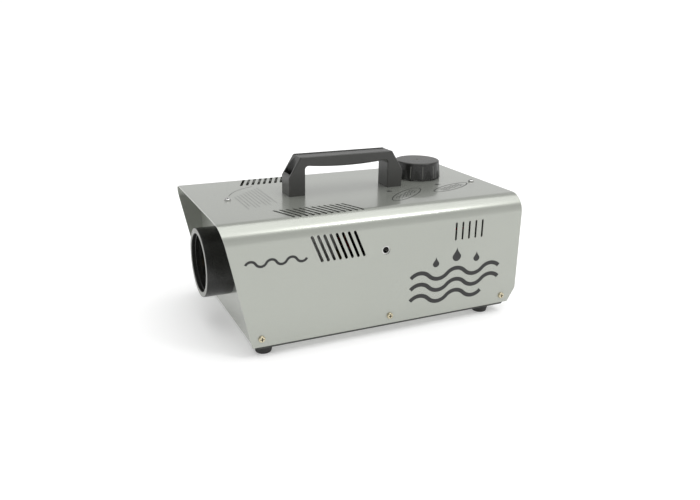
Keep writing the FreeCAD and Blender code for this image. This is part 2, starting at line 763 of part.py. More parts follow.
def shroud_screws():
    screws = []
    for angle in SHROUD_SCREW_ANGLES:
        x, z = shroud_screw_place(angle)
        screw = pan_screw(2.7, 1.8, 1.25, 8)
        screws.append(aimed(screw, (x, FRONT_PANEL + TRAY_SHEET, z), Y))
    return screws


def spray_nozzle():
    """The brass nozzle, screwed on the front of the vapour pipe."""
    tip = aimed(Part.makeCone(6.5, 3.0, 8), (0, NOZZLE_FRONT + 8, SHROUD_Z), Y * -1)
    grip = hexagon((0, NOZZLE_FRONT + 8, SHROUD_Z), Y, 15.0, 8)
    neck = rod((0, NOZZLE_FRONT + 16, SHROUD_Z), Y, 6.0, NOZZLE_REAR - NOZZLE_FRONT - 16)
    seat = rod((0, NOZZLE_SEAT, SHROUD_Z), Y, PIPE_R + THREAD_GAP, 20)
    jet = rod((0, NOZZLE_FRONT - 1, SHROUD_Z), Y, 0.6, 20)
    return fuse([tip, grip, neck]).cut([seat, jet])


def vapour_pipe():
    """The steel pipe in which the fluid turns to vapour."""
    tube = ring((0, NOZZLE_SEAT, SHROUD_Z), Y, PIPE_R, 1.5, -16 - NOZZLE_SEAT)
    union = hexagon((0, -26, SHROUD_Z), Y, 11.0, 8).cut(rod((0, -30, SHROUD_Z), Y, 2.0, 20))
    return fuse([tube, union])


def heater_block():
    block = box((-BLOCK_HALF, BLOCK_HALF), (BLOCK_FRONT, BLOCK_REAR),
                (SHROUD_Z - BLOCK_HALF, SHROUD_Z + BLOCK_HALF))
    block = round_edges(block, 6.0, lambda edge: along(edge, Y))
    length = BLOCK_REAR - BLOCK_FRONT + 2
    holes = [rod((0, BLOCK_FRONT - 1, SHROUD_Z), Y, PIPE_R + THREAD_GAP, length)]
    for side in (-1, 1):
        start = (side * CARTRIDGE_X, BLOCK_FRONT + 4, CARTRIDGE_Z)
        holes.append(rod(start, Y, CARTRIDGE_R + THREAD_GAP, length))
    return block.cut(holes)


def heater_cartridges():
    cartridges = []
    for side in (-1, 1):
        x = side * CARTRIDGE_X
        body = rod((x, BLOCK_FRONT + 5, CARTRIDGE_Z), Y, CARTRIDGE_R, BLOCK_REAR - BLOCK_FRONT - 2)
        tails = [rod((x + step, BLOCK_REAR, CARTRIDGE_Z), Y, 0.9, 12) for step in (-2, 2)]
        cartridges.append(fuse([body] + tails))
    return cartridges


def sleeve(outer, inner, start, end):
    """A square tube along Y round the axis of the fog outlet."""
    around = box((-outer, outer), (start, end), (SHROUD_Z - outer, SHROUD_Z + outer))
    inside = box((-inner, inner), (start - 1, end + 1), (SHROUD_Z - inner, SHROUD_Z + inner))
    around = round_edges(around, 8.0, lambda edge: along(edge, Y))
    inside = round_edges(inside, max(8.0 - (outer - inner), 6.0), lambda edge: along(edge, Y))
    return around.cut(inside)


def heater_insulation():
    return sleeve(SHELL_HALF - SHELL_SHEET - GAP, BLOCK_HALF + GAP, SHELL_FRONT + 2, SHELL_REAR - 2)


def heater_shell():
    tube = sleeve(SHELL_HALF, SHELL_HALF - SHELL_SHEET, SHELL_FRONT, SHELL_REAR)
    plate = box((-SHELL_HALF, SHELL_HALF), (SHELL_FRONT, SHELL_FRONT + SHELL_SHEET),
                (SHROUD_Z - SHELL_HALF, SHROUD_Z + SHELL_HALF))
    plate = round_edges(plate, 8.0, lambda edge: along(edge, Y))
    return fuse([tube, plate]).cut(rod((0, SHELL_FRONT - 1, SHROUD_Z), Y, 12.0, 5))


def heater_brackets():
    half = HEATER_BRACKET_HALF
    sheet = BRACKET_SHEET
    top = SHROUD_Z - SHELL_HALF
    brackets = []
    for y in HEATER_BRACKET_Y:
        bridge = box((-half, half), y, (FLOOR, top))
        bridge = bridge.cut(box((-half + sheet, half - sheet), y, (FLOOR - 1, top - sheet)))
        foot = box((half - sheet, half + HEATER_BRACKET_FOOT), y, (FLOOR, FLOOR + sheet))
        bracket = fuse([bridge] + both_sides(foot))
        middle = (y[0] + y[1]) / 2
        for side in (-1, 1):
            x = side * (half + HEATER_BRACKET_FOOT / 2)
            bracket = bracket.cut(rod((x, middle, 0), Z, FLOOR_SCREW_HOLE + 0.2, FLOOR + 5))
        brackets.append(bracket)
    return brackets


def disc_switch(x, z, radius):
    """A snap-disc switch on the rear of the block, with two tabs."""
    body = rod((x, BLOCK_REAR, z), Y, radius, 3).fuse(rod((x, BLOCK_REAR + 3, z), Y, radius - 1, 6))
    tabs = [box((x + step - 1.5, x + step + 1.5), (BLOCK_REAR + 9, BLOCK_REAR + 16), (z - 0.4, z + 0.4))
            for step in (-3.5, 3.5)]
    return fuse([body] + tabs)


def thermostat():
    return disc_switch(-12.5, SHROUD_Z + 13, 8.5)


def thermal_cutout():
    return disc_switch(12.5, SHROUD_Z + 13, 7.5)


# ---- pump --------------------------------------------------------------------------------

def pump_rod(start, end, radius):
    """A cylinder on the pump's axis between two places along X."""
    return rod((start, PUMP_Y, PUMP_Z), X, radius, end - start)


def pump_bracket():
    sheet = BRACKET_SHEET
    y = (PUMP_Y - PUMP_BRACKET_HALF, PUMP_Y + PUMP_BRACKET_HALF)
    base = box(PUMP_BRACKET_X, y, (FLOOR, FLOOR + sheet))
    ears = box((-38, -22), (PUMP_Y - PUMP_EAR, PUMP_Y + PUMP_EAR), (FLOOR, FLOOR + sheet))
    walls = []
    for x in (PUMP_BRACKET_X[0], PUMP_BRACKET_X[1] - sheet):
        wall = box((x, x + sheet), y, (FLOOR, PUMP_Z + 14))
        walls.append(round_edges(wall, 6.0, lambda e: along(e, X) and e.BoundBox.ZMin > PUMP_Z))
    shape = fuse([base, ears] + walls)
    holes = [pump_rod(-70, 10, BUSH_R)]
    holes.extend(rod((x, yy, 0), Z, FLOOR_SCREW_HOLE + 0.2, FLOOR + 5) for x, yy in pump_screw_places())
    return shape.cut(holes)


def pump_screw_places():
    reach = PUMP_EAR - 4
    return [(-30, PUMP_Y - reach), (-30, PUMP_Y + reach)]


def pump_bushes():
    """Rubber rings that carry the pump in its bracket."""
    bushes = []
    for middle in (PUMP_BRACKET_X[0] + 0.6, PUMP_BRACKET_X[1] - 0.6):
        body = pump_rod(middle - 2.6, middle + 2.6, BUSH_R + 2)
        groove = pump_rod(middle - 0.6, middle + 0.6, BUSH_R + 3)
        groove = groove.cut(pump_rod(middle - 1, middle + 1, BUSH_R))
        bushes.append(body.cut([groove, pump_rod(middle - 5, middle + 5, PUMP_BODY_R)]))
    return bushes


def pump_body():
    tube = pump_rod(PUMP_X[0], PUMP_X[1], PUMP_BODY_R)
    nipple = pump_rod(PUMP_X[1] - 1, PUMP_X[1] + 12, HOSE_OUTER - 1.3)
    bore = pump_rod(PUMP_X[0] - 1, PLUNGER_X[1] + 1, PUMP_BORE)
    feed = pump_rod(PLUNGER_X[1], PUMP_X[1] + 13, 1.2)
    return fuse([tube, nipple]).cut([bore, feed])


def pump_yoke():
    reach = COIL_HALF + YOKE_PLATE
    y = (PUMP_Y - COIL_HALF, PUMP_Y + COIL_HALF)
    outer = box(YOKE_X, y, (PUMP_Z - reach, PUMP_Z + reach))
    inner = box((YOKE_X[0] + YOKE_PLATE, YOKE_X[1] - YOKE_PLATE), y, (PUMP_Z - COIL_HALF, PUMP_Z + COIL_HALF))
    return outer.cut([inner, pump_rod(YOKE_X[0] - 1, YOKE_X[1] + 1, PUMP_BODY_R + THREAD_GAP)])


def pump_coil():
    start = YOKE_X[0] + YOKE_PLATE + GAP
    end = YOKE_X[1] - YOKE_PLATE - GAP
    half = COIL_HALF - GAP
    coil = box((start, end), (PUMP_Y - half, PUMP_Y + half), (PUMP_Z - half, PUMP_Z + half))
    coil = round_edges(coil, 3.0, lambda edge: along(edge, X))
    tabs = [box((start + 2, start + 3), (PUMP_Y - half - 7, PUMP_Y - half + 1), (z - 2.4, z + 2.4))
            for z in (PUMP_Z - 6, PUMP_Z + 6)]
    return fuse([coil] + tabs).cut(pump_rod(start - 1, end + 1, PUMP_BODY_R + THREAD_GAP))


def pump_outlet():
    """The brass outlet that plugs the end of the pump's tube."""
    end = PUMP_X[0]
    plug = pump_rod(end, end + 7, PLUNGER_R)
    grip = hexagon((end, PUMP_Y, PUMP_Z), X * -1, 14.0, 7)
    stub = pump_rod(end - 14, end - 7, PIPE_OUTER + 1.2)
    return fuse([plug, grip, stub]).cut([pump_rod(end - 15, end + 10, 1.2),
                                         pump_rod(end - 15, end - 9, PIPE_OUTER + THREAD_GAP)])


def pump_plunger():
    """The hollow plunger that the coil pulls along the tube."""
    start, end = PLUNGER_X
    return pump_rod(start, end, PLUNGER_R).cut(pump_rod(start - 1, end + 1, 1.5))


def pump_spring():
    """The coil spring that pushes the plunger back from the outlet."""
    wire = 0.5
    start = PUMP_X[0] + 7 + wire
    length = PLUNGER_X[0] - wire - start
    coil_r = 4.0
    turns = 5
    helix = Part.makeHelix(length / turns, length, coil_r)
    section = Part.makeCircle(wire, Vector(coil_r, 0, 0), Y)
    spring = Part.Wire(helix).makePipeShell([Part.Wire([section])], True, True)
    return aimed(spring, (start, PUMP_Y, PUMP_Z), X)


def delivery_pipe():
    return bent_tube(PIPE_ROUTE, PIPE_OUTER)


def suction_hose():
    hose = bent_tube(HOSE_ROUTE, HOSE_OUTER)
    return hose.cut([
        pump_rod(0, 13, HOSE_OUTER - 1.25),
        rod((TANK_OUTLET_X, TANK_Y[0] - 12.5, TANK_OUTLET_Z), Y, HOSE_OUTER - 1.25, 14),
    ])


# ---- electrics ---------------------------------------------------------------------------

def board_corner_places():
    inset = 4.0
    return [(x, y) for x in (BOARD_X[0] + inset, BOARD_X[1] - inset)
            for y in (BOARD_Y[0] + inset, BOARD_Y[1] - inset)]


def board_standoffs():
    posts = []
    for x, y in board_corner_places():
        post = hexagon((x, y, FLOOR), Z, 5.5, BOARD_Z - FLOOR)
        head = rod((x, y, BOARD_Z + BOARD_THICK), Z, 2.7, 1.6)
        pin = rod((x, y, BOARD_Z), Z, 1.45, BOARD_THICK)
        posts.append(fuse([post, pin, head]))
    return posts


def control_board():
    board = box(BOARD_X, BOARD_Y, (BOARD_Z, BOARD_Z + BOARD_THICK))
    return board.cut([rod((x, y, BOARD_Z - 1), Z, 1.5, 5) for x, y in board_corner_places()])


def on_board(x, y, height):
    """A component block that stands on the board."""
    base = BOARD_Z + BOARD_THICK
    return box((BOARD_X[0] + x[0], BOARD_X[0] + x[1]), (BOARD_Y[0] + y[0], BOARD_Y[0] + y[1]),
               (base, base + height))


def board_transformer():
    """A laminated core with its four corners stepped in."""
    corners = [on_board(x, y, 25) for x in ((4, 9), (29, 34)) for y in ((45, 54), (70, 79))]
    return on_board((5, 33), (46, 78), 24).cut(corners)


def board_relay():
    return round_edges(on_board((4, 20), (22, 42), 16), 0.8, lambda edge: along(edge, Z))


def terminal_block():
    strip = on_board((6, 34), (8, 18), 11)
    base = BOARD_Z + BOARD_THICK
    holes = []
    for i in range(5):
        x = BOARD_X[0] + 9 + i * 5.5
        holes.append(rod((x, BOARD_Y[0] + 13, base + 7), Z, 1.7, 5))
        holes.append(box((x - 1.6, x + 1.6), (BOARD_Y[0] + 7, BOARD_Y[0] + 12), (base + 2, base + 5)))
    return strip.cut(holes)


def board_capacitor():
    base = BOARD_Z + BOARD_THICK
    can = rod((BOARD_X[0] + 28, BOARD_Y[0] + 32, base), Z, 5.0, 16)
    return round_edges(can, 0.8, lambda edge: edge.Closed and edge.BoundBox.ZMin > base + 1)


def rear_panel_cutouts():
    """Holes in the rear panel for the inlet, switch and remote socket."""
    y = (REAR_PANEL - 4, REAR_PANEL + 4)
    cuts = [
        box((INLET_X - INLET_HALF_X, INLET_X + INLET_HALF_X), y,
            (INLET_Z - INLET_HALF_Z, INLET_Z + INLET_HALF_Z)),
        box((SWITCH_X - 6.5, SWITCH_X + 6.5), y, (SWITCH_Z - 9.5, SWITCH_Z + 9.5)),
        rod((SOCKET_X, REAR_PANEL - 4, SOCKET_Z), Y, 8.0, 8),
    ]
    for x, z in panel_screw_places():
        cuts.append(rod((x, REAR_PANEL - 4, z), Y, PANEL_SCREW_R + THREAD_GAP, 8))
    return cuts


def panel_screw_places():
    return [
        (INLET_X - INLET_SCREW_X, INLET_Z),
        (INLET_X + INLET_SCREW_X, INLET_Z),
        (SOCKET_X - 11.2, SOCKET_Z),
        (SOCKET_X + 11.2, SOCKET_Z),
    ]


def mains_inlet():
    """A mains inlet with a socket above and a fuse drawer's cell below."""
    face = REAR_PANEL + INLET_FLANGE
    flange = box((INLET_X - 25, INLET_X + 25), (REAR_PANEL, face), (INLET_Z - 17, INLET_Z + 17))
    flange = round_edges(flange, 4.0, lambda edge: along(edge, Y))
    body = box((INLET_X - INLET_HALF_X + GAP, INLET_X + INLET_HALF_X - GAP), (INLET_BACK, REAR_PANEL + 1),
               (INLET_Z - INLET_HALF_Z + GAP, INLET_Z + INLET_HALF_Z - GAP))
    half_x = 12.3
    half_z = 8.3
    socket = prism([
        (INLET_X - half_x, SOCKET_FLOOR, SOCKET_MOUTH_Z - half_z),
        (INLET_X + half_x, SOCKET_FLOOR, SOCKET_MOUTH_Z - half_z),
        (INLET_X + half_x, SOCKET_FLOOR, SOCKET_MOUTH_Z + half_z - 5),
        (INLET_X + half_x - 5, SOCKET_FLOOR, SOCKET_MOUTH_Z + half_z),
        (INLET_X - half_x + 5, SOCKET_FLOOR, SOCKET_MOUTH_Z + half_z),
        (INLET_X - half_x, SOCKET_FLOOR, SOCKET_MOUTH_Z + half_z - 5),
    ], Y * 20)
    cell = box((INLET_X - DRAWER_HALF_X, INLET_X + DRAWER_HALF_X), (INLET_BACK + 2, face + 1),
               (DRAWER_Z - DRAWER_HALF_Z, DRAWER_Z + DRAWER_HALF_Z))
    holes = [rod((INLET_X + side * INLET_SCREW_X, REAR_PANEL - 1, INLET_Z), Y, PANEL_SCREW_R + 0.2, 5)
             for side in (-1, 1)]
    return fuse([flange, body]).cut([socket, cell] + inlet_pins() + holes)


def inlet_pins():
    """Two side blades and the raised earth blade, with tails behind the inlet."""
    pins = []
    for x, z in ((-7, -2), (7, -2), (0, 3)):
        blade = box((INLET_X + x - 1, INLET_X + x + 1), (INLET_BACK - 8, PIN_TIP),
                    (SOCKET_MOUTH_Z + z - 2, SOCKET_MOUTH_Z + z + 2))
        pins.append(blade)
    return pins


def panel_screws():
    screws = []
    for index, (x, z) in enumerate(panel_screw_places()):
        seat = REAR_PANEL + (INLET_FLANGE if index < 2 else SOCKET_PLATE)
        screws.append(aimed(pan_screw(2.8, 1.8, PANEL_SCREW_R, 9), (x, seat, z), Y))
    return screws


def fuse_drawer():
    """The drawer that holds the fuse, with a finger lip proud of the flange."""
    face = REAR_PANEL + INLET_FLANGE
    clear = 0.3
    body = box((INLET_X - DRAWER_HALF_X + clear, INLET_X + DRAWER_HALF_X - clear), (DRAWER_BACK, face),
               (DRAWER_Z - DRAWER_HALF_Z + clear, DRAWER_Z + DRAWER_HALF_Z - clear))
    lip = box((INLET_X - DRAWER_HALF_X, INLET_X + DRAWER_HALF_X), (face, face + DRAWER_LIP),
              (DRAWER_Z - DRAWER_HALF_Z, DRAWER_Z + DRAWER_HALF_Z))
    lip.translate(Y * clear)
    joint = box((INLET_X - 10, INLET_X + 10), (face - 1, face + clear), (DRAWER_Z - 2, DRAWER_Z + 2))
    tray = box((INLET_X - 10.6, INLET_X + 10.6), (DRAWER_BACK + 6, DRAWER_BACK + 13),
               (DRAWER_Z - 2.9, DRAWER_Z + 5))
    return fuse([body, joint, lip]).cut(tray)


def fuse_link():
    """The glass fuse that lies across the drawer, with its metal end caps."""
    start = INLET_X - 10.0
    y = DRAWER_BACK + 9.5
    z = DRAWER_Z - 0.3
    glass = rod((start, y, z), X, 2.3, 20)
    caps = [rod((start, y, z), X, 2.6, 5), rod((start + 15, y, z), X, 2.6, 5)]
    return fuse([glass] + caps)


def switch_housing():
    flange = box((SWITCH_X - 7.5, SWITCH_X + 7.5), (REAR_PANEL, REAR_PANEL + 2),
                 (SWITCH_Z - 10.5, SWITCH_Z + 10.5))
    flange = round_edges(flange, 0.9, lambda e: not along(e, Y) and e.BoundBox.YMin > REAR_PANEL + 1)
    body = box((SWITCH_X - 6.4, SWITCH_X + 6.4), (SWITCH_BACK, REAR_PANEL + 1),
               (SWITCH_Z - 9.4, SWITCH_Z + 9.4))
    cell = box((SWITCH_X - 5.2, SWITCH_X + 5.2), (SWITCH_BACK + 3, REAR_PANEL + 3),
               (SWITCH_Z - 8.5, SWITCH_Z + 8.5))
    pivot = rod((SWITCH_X - 6, ROCKER_PIVOT, SWITCH_Z), X, 1.25, 12)
    tabs = []
    for z in (SWITCH_Z - 5, SWITCH_Z + 5):
        tabs.append(box((SWITCH_X - 2.4, SWITCH_X + 2.4), (SWITCH_BACK - 8, SWITCH_BACK), (z - 0.4, z + 0.4)))
    return fuse([flange, body] + tabs).cut([cell, pivot])


def switch_rocker():
    """The rocker, drawn level and then tipped to its off position."""
    half = 4.9
    rise = 3.0 + ROCKER_R * math.tan(math.radians(SWITCH_TILT))
    outline = prism([
        (SWITCH_X - half, ROCKER_PIVOT - 3, SWITCH_Z - ROCKER_R),
        (SWITCH_X - half, ROCKER_PIVOT - 3, SWITCH_Z + ROCKER_R),
        (SWITCH_X - half, ROCKER_PIVOT + rise, SWITCH_Z + ROCKER_R),
        (SWITCH_X - half, ROCKER_PIVOT + 3.0, SWITCH_Z),
        (SWITCH_X - half, ROCKER_PIVOT + rise, SWITCH_Z - ROCKER_R),
    ], X * (2 * half))
    body = rod((SWITCH_X - half, ROCKER_PIVOT, SWITCH_Z), X, ROCKER_R, 2 * half).common(outline)
    pins = rod((SWITCH_X - 5.8, ROCKER_PIVOT, SWITCH_Z), X, 1.2, 11.6)
    rocker = fuse([body, pins])
    rocker.rotate(Vector(SWITCH_X, ROCKER_PIVOT, SWITCH_Z), X, -SWITCH_TILT)
    return rocker


def remote_socket():
    """The round socket for the wired remote control."""
    plate = box((SOCKET_X - 14.5, SOCKET_X + 14.5), (REAR_PANEL, REAR_PANEL + SOCKET_PLATE),
                (SOCKET_Z - 9, SOCKET_Z + 9))
    plate = round_edges(plate, 4.0, lambda edge: along(edge, Y))
    shell = rod((SOCKET_X, SOCKET_SHELL_BACK, SOCKET_Z), Y, 7.9, REAR_PANEL - SOCKET_SHELL_BACK)
    bore = rod((SOCKET_X, SOCKET_SHELL_BACK + 1, SOCKET_Z), Y, 7.2, 20)
    holes = [rod((SOCKET_X + step, REAR_PANEL - 1, SOCKET_Z), Y, PANEL_SCREW_R + 0.2, 5)
             for step in (-11.2, 11.2)]
    return fuse([plate, shell]).cut([bore] + holes)


def remote_insert():
    """The insulating core of the remote socket, with its contact holes."""
    core = rod((SOCKET_X, SOCKET_SHELL_BACK + 1, SOCKET_Z), Y, 7.15, 6)
    holes = []
    for i in range(5):
        angle = math.radians(45 * i)
        x = SOCKET_X + 4 * math.cos(angle)
        z = SOCKET_Z - 4 * math.sin(angle)
        holes.append(rod((x, SOCKET_SHELL_BACK + 2, z), Y, 0.8, 6))
    return core.cut(holes)


def earth_stud():
    stud = rod((EARTH_X, EARTH_Y, FLOOR), Z, 2.0, 12)
    nuts = [hexagon((EARTH_X, EARTH_Y, z), Z, 7.0, 3) for z in (FLOOR, FLOOR + 5)]
    return fuse([stud] + nuts)


def red_wire():
    return bent_tube(RED_ROUTE, WIRE_OUTER)


def blue_wire():
    return bent_tube(BLUE_ROUTE, WIRE_OUTER)


def earth_wire():
    eyelet = ring((EARTH_X, EARTH_Y, FLOOR + 3), Z, 4.5, 2.05, 1.2)
    return bent_tube(EARTH_ROUTE, WIRE_OUTER).fuse(eyelet)


# ---- fasteners in the floor --------------------------------------------------------------

def heater_screw_places():
    reach = HEATER_BRACKET_HALF + HEATER_BRACKET_FOOT / 2
    return [(side * reach, (y[0] + y[1]) / 2) for side in (-1, 1) for y in HEATER_BRACKET_Y]


def floor_screw_places():
    return heater_screw_places() + pump_screw_places() + strap_screw_places()


def floor_screws():
    """Thread-forming screws that hold the heater, pump and tank strap to the floor."""
    seats = [FLOOR + BRACKET_SHEET] * 6 + [FLOOR + STRAP_SHEET] * 2
    screw = pan_screw(3.4, 2.2, FLOOR_SCREW_HOLE - THREAD_GAP, 5)
    return [aimed(screw, (x, y, seat), Z) for (x, y), seat in zip(floor_screw_places(), seats)]


# ---- output ------------------------------------------------------------------------------

NODES = {
    "cover": cover,
    "chassis": chassis,
    "cover_side_screws": cover_side_screws,
    "cover_side_nuts": cover_side_nuts,
    "cover_top_screws": cover_top_screws,
    "bracket_nuts": bracket_nuts,
    "rubber_feet": rubber_feet,
    "feet_screws": feet_screws,
    "feet_nuts": feet_nuts,
    "carry_handle": carry_handle,
    "handle_screws": handle_screws,
    "handle_nuts": handle_nuts,
    "filler_cap": filler_cap,
    "cap_seal": cap_seal,
    "fluid_tank": fluid_tank,
    "tank_pad": tank_pad,
    "tank_strap": tank_strap,
    "tank_outlet": tank_outlet,
    "intake_filter": intake_filter,
    "nozzle_shroud": nozzle_shroud,
    "shroud_screws": shroud_screws,
    "spray_nozzle": spray_nozzle,
    "vapour_pipe": vapour_pipe,
    "heater_block": heater_block,
    "heater_cartridges": heater_cartridges,
    "heater_insulation": heater_insulation,
    "heater_shell": heater_shell,
    "heater_brackets": heater_brackets,
    "thermostat": thermostat,
    "thermal_cutout": thermal_cutout,
    "pump_bracket": pump_bracket,
    "pump_bushes": pump_bushes,
    "pump_body": pump_body,
    "pump_yoke": pump_yoke,
    "pump_coil": pump_coil,
    "pump_outlet": pump_outlet,
    "pump_plunger": pump_plunger,
    "pump_spring": pump_spring,
    "delivery_pipe": delivery_pipe,
    "suction_hose": suction_hose,
    "board_standoffs": board_standoffs,
    "control_board": control_board,
    "board_transformer": board_transformer,
    "board_relay": board_relay,
    "board_capacitor": board_capacitor,
    "terminal_block": terminal_block,
    "mains_inlet": mains_inlet,
    "inlet_pins": inlet_pins,
    "panel_screws": panel_screws,
    "fuse_drawer": fuse_drawer,
    "fuse_link": fuse_link,
    "switch_housing": switch_housing,
    "switch_rocker": switch_rocker,
    "remote_socket": remote_socket,
    "remote_insert": remote_insert,
    "earth_stud": earth_stud,
    "red_wire": red_wire,
    "blue_wire": blue_wire,
    "earth_wire": earth_wire,
    "floor_screws": floor_screws,
}


def main():
    os.makedirs("parts", exist_ok=True)
    for name, make in NODES.items():
        made = make()
        shape = Part.makeCompound(made) if isinstance(made, list) else made
        shape.exportStep("parts/" + name + ".step")
        state = "ok" if shape.isValid() else "NOT VALID"
        print(name, len(shape.Solids), round(shape.Volume, 1), state)


main()
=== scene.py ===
# %% [markdown]
# # A small stage fog machine, dressed for the camera
# The CAD model holds every size and joint of this machine, so Blender never moves or resizes
# anything. This lesson gives the machine its looks: soft edges on folded sheet metal, moulded
# plastic, rubber, brass and print, each with a material made from nodes.
# The first cell loads the CAD parts. Every length in this file is in metres, in the CAD's frame:
# +Z is up, and the fog leaves towards -Y.

# %% Load the frame
import json
import math

import bmesh
import bpy
from mathutils import Matrix, Vector


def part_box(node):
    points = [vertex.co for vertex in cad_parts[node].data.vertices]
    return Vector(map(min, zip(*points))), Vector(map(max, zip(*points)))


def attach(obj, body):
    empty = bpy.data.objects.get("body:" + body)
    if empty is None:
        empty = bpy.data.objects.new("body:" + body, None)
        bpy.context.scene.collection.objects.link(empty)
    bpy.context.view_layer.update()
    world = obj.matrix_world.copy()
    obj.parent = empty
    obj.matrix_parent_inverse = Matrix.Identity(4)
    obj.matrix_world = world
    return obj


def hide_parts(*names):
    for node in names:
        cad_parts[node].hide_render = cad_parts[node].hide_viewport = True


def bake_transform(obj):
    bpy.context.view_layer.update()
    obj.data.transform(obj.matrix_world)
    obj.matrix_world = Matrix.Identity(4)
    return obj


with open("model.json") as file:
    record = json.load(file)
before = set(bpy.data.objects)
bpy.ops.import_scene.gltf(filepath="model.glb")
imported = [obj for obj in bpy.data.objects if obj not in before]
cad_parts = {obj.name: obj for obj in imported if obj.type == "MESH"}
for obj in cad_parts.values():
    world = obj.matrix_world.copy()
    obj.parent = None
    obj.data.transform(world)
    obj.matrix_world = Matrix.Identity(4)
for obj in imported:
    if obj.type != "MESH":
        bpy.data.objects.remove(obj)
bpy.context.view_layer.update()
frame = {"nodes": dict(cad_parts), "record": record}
MM = 0.001

# %% [markdown]
# ## Places read from the frame
# A piece that is added later must sit exactly on its neighbour. Its place could be typed in, but
# then it would be wrong as soon as the CAD changes. Asking the frame for each node's box keeps
# one source of truth. The cover's box gives the top and the sides of the case, and the boxes of
# the handle and the cap give their middles.

# %% Read the places
cover_low, cover_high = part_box("cover")
handle_low, handle_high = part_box("carry_handle")
cap_low, cap_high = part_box("filler_cap")
TOP_Z = cover_high.z
SIDE_X = cover_high.x
HANDLE_Y = (handle_low.y + handle_high.y) / 2
CAP_MIDDLE = (cap_low + cap_high) / 2
print("top of the case at", round(TOP_Z, 4), "and side at", round(SIDE_X, 4))

# %% [markdown]
# ## Helpers for materials
# Every finish starts from the same few ideas: a base colour that drifts a little over the
# surface, a gloss that drifts too, and a fine bump. Image textures could carry all that, but
# they blur up close and need unwrapping. Noise that reads Object coordinates is sharp at any
# distance and stays fixed to the part, so one helper lays it down for every finish.

# %% Material helpers
def start_material(name):
    """A new node material, with its node tree, its main shader and the object's coordinates."""
    material = bpy.data.materials.new(name)
    material.use_nodes = True
    tree = material.node_tree
    shader = tree.nodes["Principled BSDF"]
    place = tree.nodes.new("ShaderNodeTexCoord")
    return material, tree, shader, place.outputs["Object"]


def add_noise(tree, place, scale, detail=3.0, stretch=(1.0, 1.0, 1.0)):
    """Noise in the object's own space. Scale counts bumps per metre."""
    mapping = tree.nodes.new("ShaderNodeMapping")
    mapping.inputs["Scale"].default_value = stretch
    tree.links.new(place, mapping.inputs["Vector"])
    noise = tree.nodes.new("ShaderNodeTexNoise")
    noise.inputs["Scale"].default_value = scale
    noise.inputs["Detail"].default_value = detail
    tree.links.new(mapping.outputs["Vector"], noise.inputs["Vector"])
    return noise.outputs["Fac"]


def map_range(tree, value, low, high, start=0.3, end=0.7):
    """Stretch a value from start..end to low..high."""
    node = tree.nodes.new("ShaderNodeMapRange")
    node.inputs["From Min"].default_value = start
    node.inputs["From Max"].default_value = end
    node.inputs["To Min"].default_value = low
    node.inputs["To Max"].default_value = high
    tree.links.new(value, node.inputs["Value"])
    return node.outputs["Result"]


def mix_colours(tree, factor, first, second):
    """Blend two colours, or two colour outputs, by a factor output."""
    node = tree.nodes.new("ShaderNodeMix")
    node.data_type = "RGBA"
    tree.links.new(factor, node.inputs["Factor"])
    ends = [s for s in node.inputs if s.type == "RGBA"]
    for socket, colour in zip(ends, (first, second)):
        if isinstance(colour, tuple):
            socket.default_value = colour + (1.0,)
        else:
            tree.links.new(colour, socket)
    return [s for s in node.outputs if s.type == "RGBA"][0]


def add_bump(tree, shader, height, distance, strength=1.0):
    """Bend the shader's normal by a height. Distance is the depth of the bump in metres."""
    bump = tree.nodes.new("ShaderNodeBump")
    bump.inputs["Strength"].default_value = strength
    bump.inputs["Distance"].default_value = distance
    tree.links.new(height, bump.inputs["Height"])
    tree.links.new(bump.outputs["Normal"], shader.inputs["Normal"])


def shade(colour, amount):
    """A lighter or darker tone of a colour."""
    return tuple(min(1.0, part * amount) for part in colour)


SPECK_SHARE = 0.35
COAT_BLUR = 0.12


def surface(name, colour, gloss, drift, grain, bump, patch, metallic=0.0, coat=0.0,
            stretch=(1.0, 1.0, 1.0)):
    """A finish whose colour drifts in patches, with a fine grain in its colour, gloss and bump.

    gloss is the lowest and the highest roughness, and bump is the grain's depth in metres. grain
    and patch count specks and patches per metre."""
    material, tree, shader, place = start_material(name)
    patches = add_noise(tree, place, patch, detail=4.0)
    specks = add_noise(tree, place, grain, detail=2.0, stretch=stretch)
    dark, light = shade(colour, 1 - drift), shade(colour, 1 + drift)
    tone = mix_colours(tree, map_range(tree, patches, 0.0, 1.0), dark, light)
    darkest = shade(colour, 1 - 2 * drift)
    fine = mix_colours(tree, map_range(tree, specks, 0.0, SPECK_SHARE), tone, darkest)
    tree.links.new(fine, shader.inputs["Base Color"])
    tree.links.new(map_range(tree, specks, gloss[0], gloss[1]), shader.inputs["Roughness"])
    shader.inputs["Metallic"].default_value = metallic
    shader.inputs["Coat Weight"].default_value = coat
    shader.inputs["Coat Roughness"].default_value = COAT_BLUR
    if bump:
        add_bump(tree, shader, specks, bump)
    return material


# %% [markdown]
# ## The silver paint
# The case is sprayed with silver paint: a pale grey binder full of tiny aluminium flakes under a
# thin clear layer. A plain metal shader would mirror the room too clearly, and a plain grey
# would look like card. So the shader is half metallic, its flakes come from a very fine noise
# that changes both tone and roughness, and a low orange-peel bump bends the clear coat.

# %% Silver paint
PAINT = (0.366, 0.382, 0.342)
FLAKE = (0.52, 0.53, 0.50)
FLAKES_PER_METRE = 5200.0
PEEL_PER_METRE = 420.0
CLOUDS_PER_METRE = 9.0


